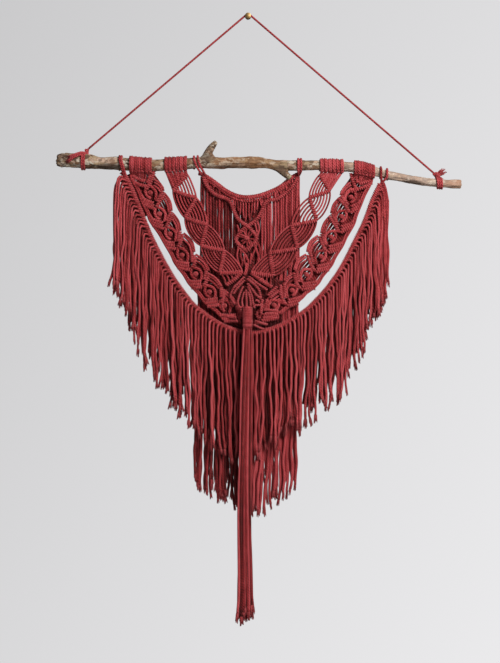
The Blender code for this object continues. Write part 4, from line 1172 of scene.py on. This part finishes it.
rope_back = [back_cord(edge + outward * out + [0, 0.0034, 0]) for out in (0.0043, 0.0084)]
top_left = edge[:, 2] > -0.330
top_left &= edge[:, 0] < 0
rope_back += [back_cord((edge - outward * out + [0, 0.006, 0])[top_left])
              for out in (0.003, 0.0065)]
fringe_runs, rear_runs = [], []
for knot in range(KNOT_PAIRS):
    share = (knot + 0.5) / KNOT_PAIRS
    mark = share * (len(rope_route) - 1)
    for layer in (0, 1):
        root = Vector(rope_route[min(len(rope_route) - 1, round(mark + (layer - 0.5) * 3.4))])
        ahead = rope_route[min(len(rope_route) - 1, round(mark) + 4)]
        tangent = (Vector(ahead) - Vector(rope_route[max(0, round(mark) - 4)])).normalized()
        away = Vector((tangent.z, 0, -tangent.x))
        if away.z > 0:
            away = -away
        steep = abs(tangent.z)
        end_x = read_off(SHOULDERS, root.x * 1000)
        end_x += chance.uniform(-2.4, 2.4)
        depth = (ROPE_DEPTH + (3.6 if layer == 0 else -2.6) + chance.uniform(-1.6, 1.6)
                 + 2.2 * steep * math.sin(knot * 2.1))
        end = read_off(FRINGE_ENDS, end_x) * (1.0 if layer == 0 else 0.985)
        end += chance.uniform(-14, 6) - (16 if chance.random() < 0.14 else 0)
        side = 1 if root.x > 0 else -1
        lift = Vector((0, 0, chance.uniform(0.002, 0.0045) * steep))
        neck = root + away * 0.0035 + lift * 0.5 + at(0, 0, 1.2 if layer == 0 else -1.6)
        drift = end_x * 0.001 - root.x
        shoulder = root + away * (0.0045 + 0.0042 * steep) + lift + Vector((drift * 0.2, 0, 0))
        shoulder.y = -depth * 0.001
        fall = Vector((root.x + away.x * 0.007 + drift * 0.42, -depth * 0.001,
                       shoulder.z - 0.014 - 0.008 * steep))
        below = hang(fall, end_x + chance.uniform(-5.5, 5.5), end, depth, 1.4, 0.6, 0.0065)
        route = np.vstack([smooth([root, neck, shoulder, fall], 0.005), below[1:]])
        thick = (0.0021 - 0.0003 * steep + 0.0002 * layer) * chance.uniform(0.9, 1.1)
        radii = np.interp(np.arange(len(route)), (0, 4, 12),
                          (0.0020 - 0.0004 * steep, 0.0019 - 0.0003 * steep, thick))
        (rear_runs if layer else fringe_runs).append((route, radii))
for x, lean_x in ((-206.5, -199.5), (-203.2, -196.2)):
    rope_runs.append((smooth(wrap(x, x + 1.5, 235, 20) + [round_branch(x + 4, -20), at(lean_x - 0.5, 253, 25),
                              at(lean_x + 2, 262, 21)], 0.0035), CORD * 1.05))
for x, drift in ((212.5, 0), (223.5, -6)):
    rope_runs.append((smooth(wrap(x, x + drift * 0.3, 235, -35) + [at(x + drift * 0.8 + 0.5, 265, 24),
                              at(213.5, 270, 21), at(210, 276, 20)], 0.0035), CORD * 1.2))
for k in range(-5, 5):
    start = at(213 + 0.8 * k, 270 - min(0, 1.2 * k), 19 + k * (1 if k > 0 else 0.5))
    end_x = 212 + 2.6 * k
    bend = at(end_x + 1, 300, 20 + k)
    upper = smooth([start, at(214 + 1.4 * k, 280, 20 + k), bend], 0.005)
    lower = hang(bend, end_x + chance.uniform(-2, 2),
                 read_off(FRINGE_ENDS, end_x) + chance.uniform(-20, 0), 20 + k)
    fringe_runs.append((np.vstack([upper, lower[1:]]), 0.0022))
for k, (x, drop) in enumerate(((-221, 427), (-214, 441), (-209, 438))):
    start = at(-200 + k, 262, 19 + k)
    upper = smooth([start, at(-207 + k, 266, 20), at(-213 + 2 * k, 282, 20), at(-214 + 2 * k, 330, 20 + k),
                    at(-213 + 2 * k, 390, 20)], 0.006)
    lower = smooth([upper[-1], at(x + 4, 415, 20), at(x, drop, 20)], 0.006)
    fringe_runs.append((np.vstack([upper, lower[1:]]), 0.0024))
print("Fringe strands:", len(fringe_runs) + len(rear_runs))
deep_runs = []
for k, (route, _) in enumerate(rear_runs[3:-3] + fringe_runs[6:94]):
    shorter = route[:max(8, int(len(route) * chance.uniform(0.84, 0.95)))][::2].copy()
    shorter[:, 0] += (0.0016 if k < len(rear_runs) - 6 else -0.0016) + chance.uniform(-0.001, 0.001)
    shorter[:, 1] += 0.0055
    deep_runs.append((shorter, 0.0029))
for k in range(MIDDLE_BACKING):
    x = -25 + 4.4 * k
    deep_runs.append((hang(at(x, 514, 13), x, 655 + 12 * (k % 3), 13, 0.4, 0.2)[::2], 0.0029))
# The deep strands and the cords behind the rope get dark tones: painted shade.
rope_cords = [lay_cords("deep_strands", deep_runs, 4, PAINTED_SHADE),
              lay_cords("rope_cords", rope_runs, 8),
              lay_cords("rope_back", rope_back, 6, (-0.5, -0.1))]
# Rear strands get lower tones than front ones: painted shade on the rear layer.
fringe_strands = [lay_cords("front_strands", fringe_runs, 6, (0.0, 1.45)),
                  lay_cords("rear_strands", rear_runs, 6, (-1.0, 0.4))]
fringe_brushes = stamp(brush, brush_places(fringe_runs + rear_runs, 1.1))
finish_piece(rope_cords + fringe_strands + rope_parts + fringe_brushes,
             "outer_fringe_cords", "outer_fringe", cotton)

# %% [markdown]
# ## Where the bands meet
# The fan bands and the crossing cords end in one knot, and hitched petals spread from it like a
# butterfly before they gather into the tassel. They are read off the photograph one by one. Each is
# a short bar that rises from the bands towards the tassel's wrapped knot, which stands proudest.

# %% Petals
PETALS = (
    (((244.2, 276.8), (238.8, 282.8), (234, 287.6), (231.2, 292.8), (230.6, 296.8), (233, 301.4),
      (235, 304)), -1, 0.85),
    (((244.4, 280.2), (239.8, 285.4), (236, 289.8), (233.6, 294)), -1, 0.8),
    (((243.2, 286.5), (240.2, 293.4), (238.3, 299.3), (237.9, 303), (240, 307.6), (243.2, 306.6)), -1, 0.85),
    (((244.2, 292), (242.8, 297), (242, 301.5), (243, 307)), -1, 0.75),
    (((246, 290), (246.4, 297), (246.9, 307)), 1, 0.85),
    (((248.6, 276.4), (254.4, 281.2), (261.2, 286), (267.4, 290)), 1, 0.85),
    (((247, 278.6), (253.7, 283.8), (258.5, 289.1), (260.2, 294), (260.8, 297.7)), 1, 0.85),
    (((247.4, 283.4), (252.4, 289.6), (256.3, 294.9), (261, 298.8)), 1, 0.85),
    (((247.8, 286.6), (251, 293.6), (252.9, 301.4), (254.2, 308.2)), 1, 0.85),
    (((248.2, 292), (249.8, 297.5), (250.6, 303), (250.8, 308.5)), 1, 0.75),
    (((254.4, 305.4), (257.4, 305.2), (260.8, 305)), 1, 0.75),
    (((255.4, 300.2), (258.6, 300.8), (258.9, 303)), 1, 0.6),
    (((262.7, 299.4), (261.5, 306), (261.1, 314)), 1, 0.85),
    (((267, 299.6), (266.3, 304), (265.7, 309)), 1, 0.85),
    (((277.2, 286.4), (272.4, 291), (267.6, 295.6)), -1, 0.95),
    (((279, 290.6), (274.4, 294.4), (270, 298)), -1, 0.8),
    (((291.6, 273.6), (288, 277.2), (284.4, 280.8)), -1, 0.8),
    (((280.9, 284.6), (280.8, 290), (280.9, 295.8)), 1, 0.85),
    (((284.7, 283.6), (284.6, 289), (284.5, 294.6)), 1, 0.85),
    (((263.6, 309.8), (270.5, 310), (278, 310.8)), 1, 0.85),
    (((264.4, 313.4), (271, 313.4), (278, 314)), 1, 0.75),
    (((266, 317.2), (272.5, 317.6), (279, 318.4)), 1, 0.85),
    (((254.8, 320.6), (259.5, 322.4), (267.4, 324.6)), 1, 0.85),
    (((253.6, 324.4), (258, 327), (263.4, 329)), 1, 0.75),
    (((223.5, 297.4), (222.6, 303), (222.6, 308), (224.2, 312)), -1, 0.8),
    (((219.4, 314.6), (227, 316.2), (236.4, 317.6)), -1, 0.85),
    (((221.4, 318.6), (229, 320.2), (238, 321.2)), -1, 0.8),
)
PETAL_BACKING = 24
HEART_X = 247


def petal_size(x, y):
    """Bars are slimmer towards the middle, where they crowd."""
    if y > 285 and abs(x - HEART_X) < 4:
        return 0.7
    return 0.8 if abs(x - HEART_X) < 8 else 0.95


petal_parts, petal_runs = [], []
for petal, lean, size in PETALS:
    points = []
    for x, y in petal:
        share = min(1.0, max(0.0, (y - 276) / 32))
        near_tassel = max(0.0, 1 - abs(x - HEART_X) / 9)
        away = min(1.0, max(0.0, (abs(x - HEART_X) - 12) / 6))
        points.append(spot(x, y, 23.0 + (5.5 * share + 6.5 * share * near_tassel) * (1 - away) - 3.6 * away))
    # Petals get extra tone: painted light.
    petal_parts += bar(points, lean=lean, size=size * petal_size(*petal[0]), bright=0.35)
for table in (((248.4, 261.5), (247.6, 266), (246.8, 271), (245.4, 275)),
              ((246.4, 263), (246, 267), (245.4, 272), (244, 275))):
    petal_runs.append((smooth([spot(x, y, 20 + 0.35 * (y - 262)) for x, y in table], 0.003), CORD))
petal_back = []
for k in range(PETAL_BACKING):
    x = -44 + 4.2 * k
    top = at(x, 400 + 0.5 * abs(x), 11 + k % 2)
    petal_back.append((hang(top, x, 510 - 0.3 * abs(x), 12 + k % 2, 0.5, 0.2), 0.0027))
# The backing strands get very dark tones: painted shade behind the petals.
petal_cords = [lay_cords("petal_cords", petal_runs, 8),
               lay_cords("petal_back", petal_back, 6, (-1.2, -0.8))]
finish_piece(petal_cords + petal_parts, "centre_leaf_cords", "centre_leaves", cotton)

# %% [markdown]
# ## The tassel
# A wrapped knot binds the last cords: twelve turns of cord lie side by side round them. Below it the
# strands hang almost to the length of the whole hanging. They start close together, spread a little,
# cross each other and end in small brushes at slightly different heights.

# %% Tassel
TASSEL_DEPTH = 36.0
TASSEL_TURNS = 12
TASSEL_STRANDS = 20
TASSEL_ROW = 7
turn_model = ring_model("wrap_turn", 0.0069, 0.00145, steps=(24, 6))
models.append(turn_model)
wrap_places = [frame_at(at(-0.8 + 0.15 * math.sin(k), 471 + 2.6 * k, TASSEL_DEPTH), (0.02, 0, -1),
                        chance.uniform(0.98, 1.03)) for k in range(TASSEL_TURNS)]
tassel_runs = [(smooth([at(-0.8, drop, TASSEL_DEPTH) for drop in (468, 484, 504)], 0.006), 0.0065)]
tassel_hang = []
for k in range(TASSEL_STRANDS):
    row = k // TASSEL_ROW
    across = -5.4 + 1.8 * (k % TASSEL_ROW) + (0.9 if row else 0.0)
    out = 3.6 * (1 - row) * math.sqrt(1 - (across / 8) ** 2)
    top = at(-0.8 + across * 0.8, 494, TASSEL_DEPTH + out * 0.8)
    end = 953 + 6 * math.sin(k * 1.7) - 0.9 * across
    spots = [(-2.5 + across * 1.25, 600, out), (-5.0 + across * 1.45, 720, out * 0.9),
             (-5.8 + across * 1.6, 810, out * 0.8), (-5.0 + across * 1.95, 895, out * 0.8)]
    points = [top]
    for x, drop, depth in spots:
        points.append(at(x + chance.uniform(-1.7, 1.7), drop + chance.uniform(-22, 22),
                         TASSEL_DEPTH + depth + chance.uniform(-1.5, 2.5)))
    points.append(at(-4.4 + across * 2.1 + chance.uniform(-2, 2), end, TASSEL_DEPTH + out * 0.8))
    tassel_hang.append((smooth(points, 0.008), 0.0021 * chance.uniform(0.9, 1.1)))
tassel_parts = stamp(turn_model, wrap_places)
tassel_core = lay_cords("tassel_core", tassel_runs, 16)
tassel_strands = lay_cords("tassel_strands", tassel_hang, 8, (-0.8, 1.7))
tassel_parts += stamp(brush, brush_places(tassel_hang, 1.35))
finish_piece([tassel_core, tassel_strands] + tassel_parts, "tassel_cords", "tassel", cotton)

# %% [markdown]
# ## Put the models away
# The ring, brush and berry models have done their work. Only their copies belong to the object, so
# the models are deleted.

# %% Delete the models
for model in models:
    bpy.data.objects.remove(model)

# %% [markdown]
# ## Studio
# A pale round floor lies below, and the air behind is a plain pale grey that grows lighter to the
# right. One large soft light stands high at the right, as it does in the photograph, and a weak one
# fills in from the left, so that each cord has a lit side and a shaded one.

# %% Floor, light and air
deselect()
bpy.ops.mesh.primitive_circle_add(vertices=96, radius=0.95, fill_type="NGON", location=(0, 0, -1.3))
floor = bpy.context.object
floor.name = "studio_floor"
floor_paint, floor_tree, floor_shader = new_material("pale floor")
floor_where = add(floor_tree, "ShaderNodeTexCoord").outputs["Object"]
floor_cloud = add(floor_tree, "ShaderNodeTexNoise", {"Vector": floor_where, "Scale": 6.0}).outputs[0]
floor_tree.links.new(blend_colours(floor_tree, floor_cloud, (0.66, 0.65, 0.64, 1), (0.72, 0.71, 0.70, 1)),
                     floor_shader.inputs["Base Color"])
floor_shader.inputs["Roughness"].default_value = 0.9
floor.data.materials.append(floor_paint)


def soft_light(name, place, aim, size, power, colour):
    bpy.ops.object.light_add(type="AREA", location=place)
    light = bpy.context.object
    light.name = name
    light.rotation_euler = (Vector(aim) - Vector(place)).to_track_quat("-Z", "Y").to_euler()
    light.data.size = size
    light.data.energy = power
    light.data.color = colour


soft_light("high_soft_light", (1.15, -1.75, 0.75), (0, 0, -0.45), 0.75, 62, (1.0, 0.985, 0.96))
soft_light("fill_light", (-1.7, -1.9, -0.3), (0, 0, -0.5), 1.6, 3, (0.95, 0.97, 1.0))

air = bpy.data.worlds.new("studio air")
bpy.context.scene.world = air
air.use_nodes = True
air_tree = air.node_tree
air_tree.nodes.clear()
way = add(air_tree, "ShaderNodeSeparateXYZ", {0: add(air_tree, "ShaderNodeTexCoord").outputs["Generated"]})
grey_tone = sums(air_tree, "MULTIPLY_ADD", way.outputs[0], 0.38,
                 sums(air_tree, "MULTIPLY_ADD", way.outputs[2], -0.22, 0.71))
greens, blues = (sums(air_tree, "MULTIPLY", grey_tone, share) for share in (0.995, 1.01))
grey_colour = add(air_tree, "ShaderNodeCombineColor", {0: grey_tone, 1: greens, 2: blues}).outputs[0]
seen = add(air_tree, "ShaderNodeBackground", {"Color": grey_colour, "Strength": 1.0})
front = add(air_tree, "ShaderNodeMapRange", {"Value": way.outputs[1], "From Min": -0.2, "From Max": 0.25,
                                             "To Min": 0.17, "To Max": 0.08}).outputs[0]
felt = add(air_tree, "ShaderNodeBackground", {"Color": (0.95, 0.96, 1.0, 1), "Strength": front})
is_seen = add(air_tree, "ShaderNodeLightPath").outputs["Is Camera Ray"]
both = add(air_tree, "ShaderNodeMixShader", {0: is_seen, 1: felt.outputs[0], 2: seen.outputs[0]})
add(air_tree, "ShaderNodeOutputWorld", {"Surface": both.outputs[0]})
bpy.context.scene.view_settings.view_transform = "Standard"
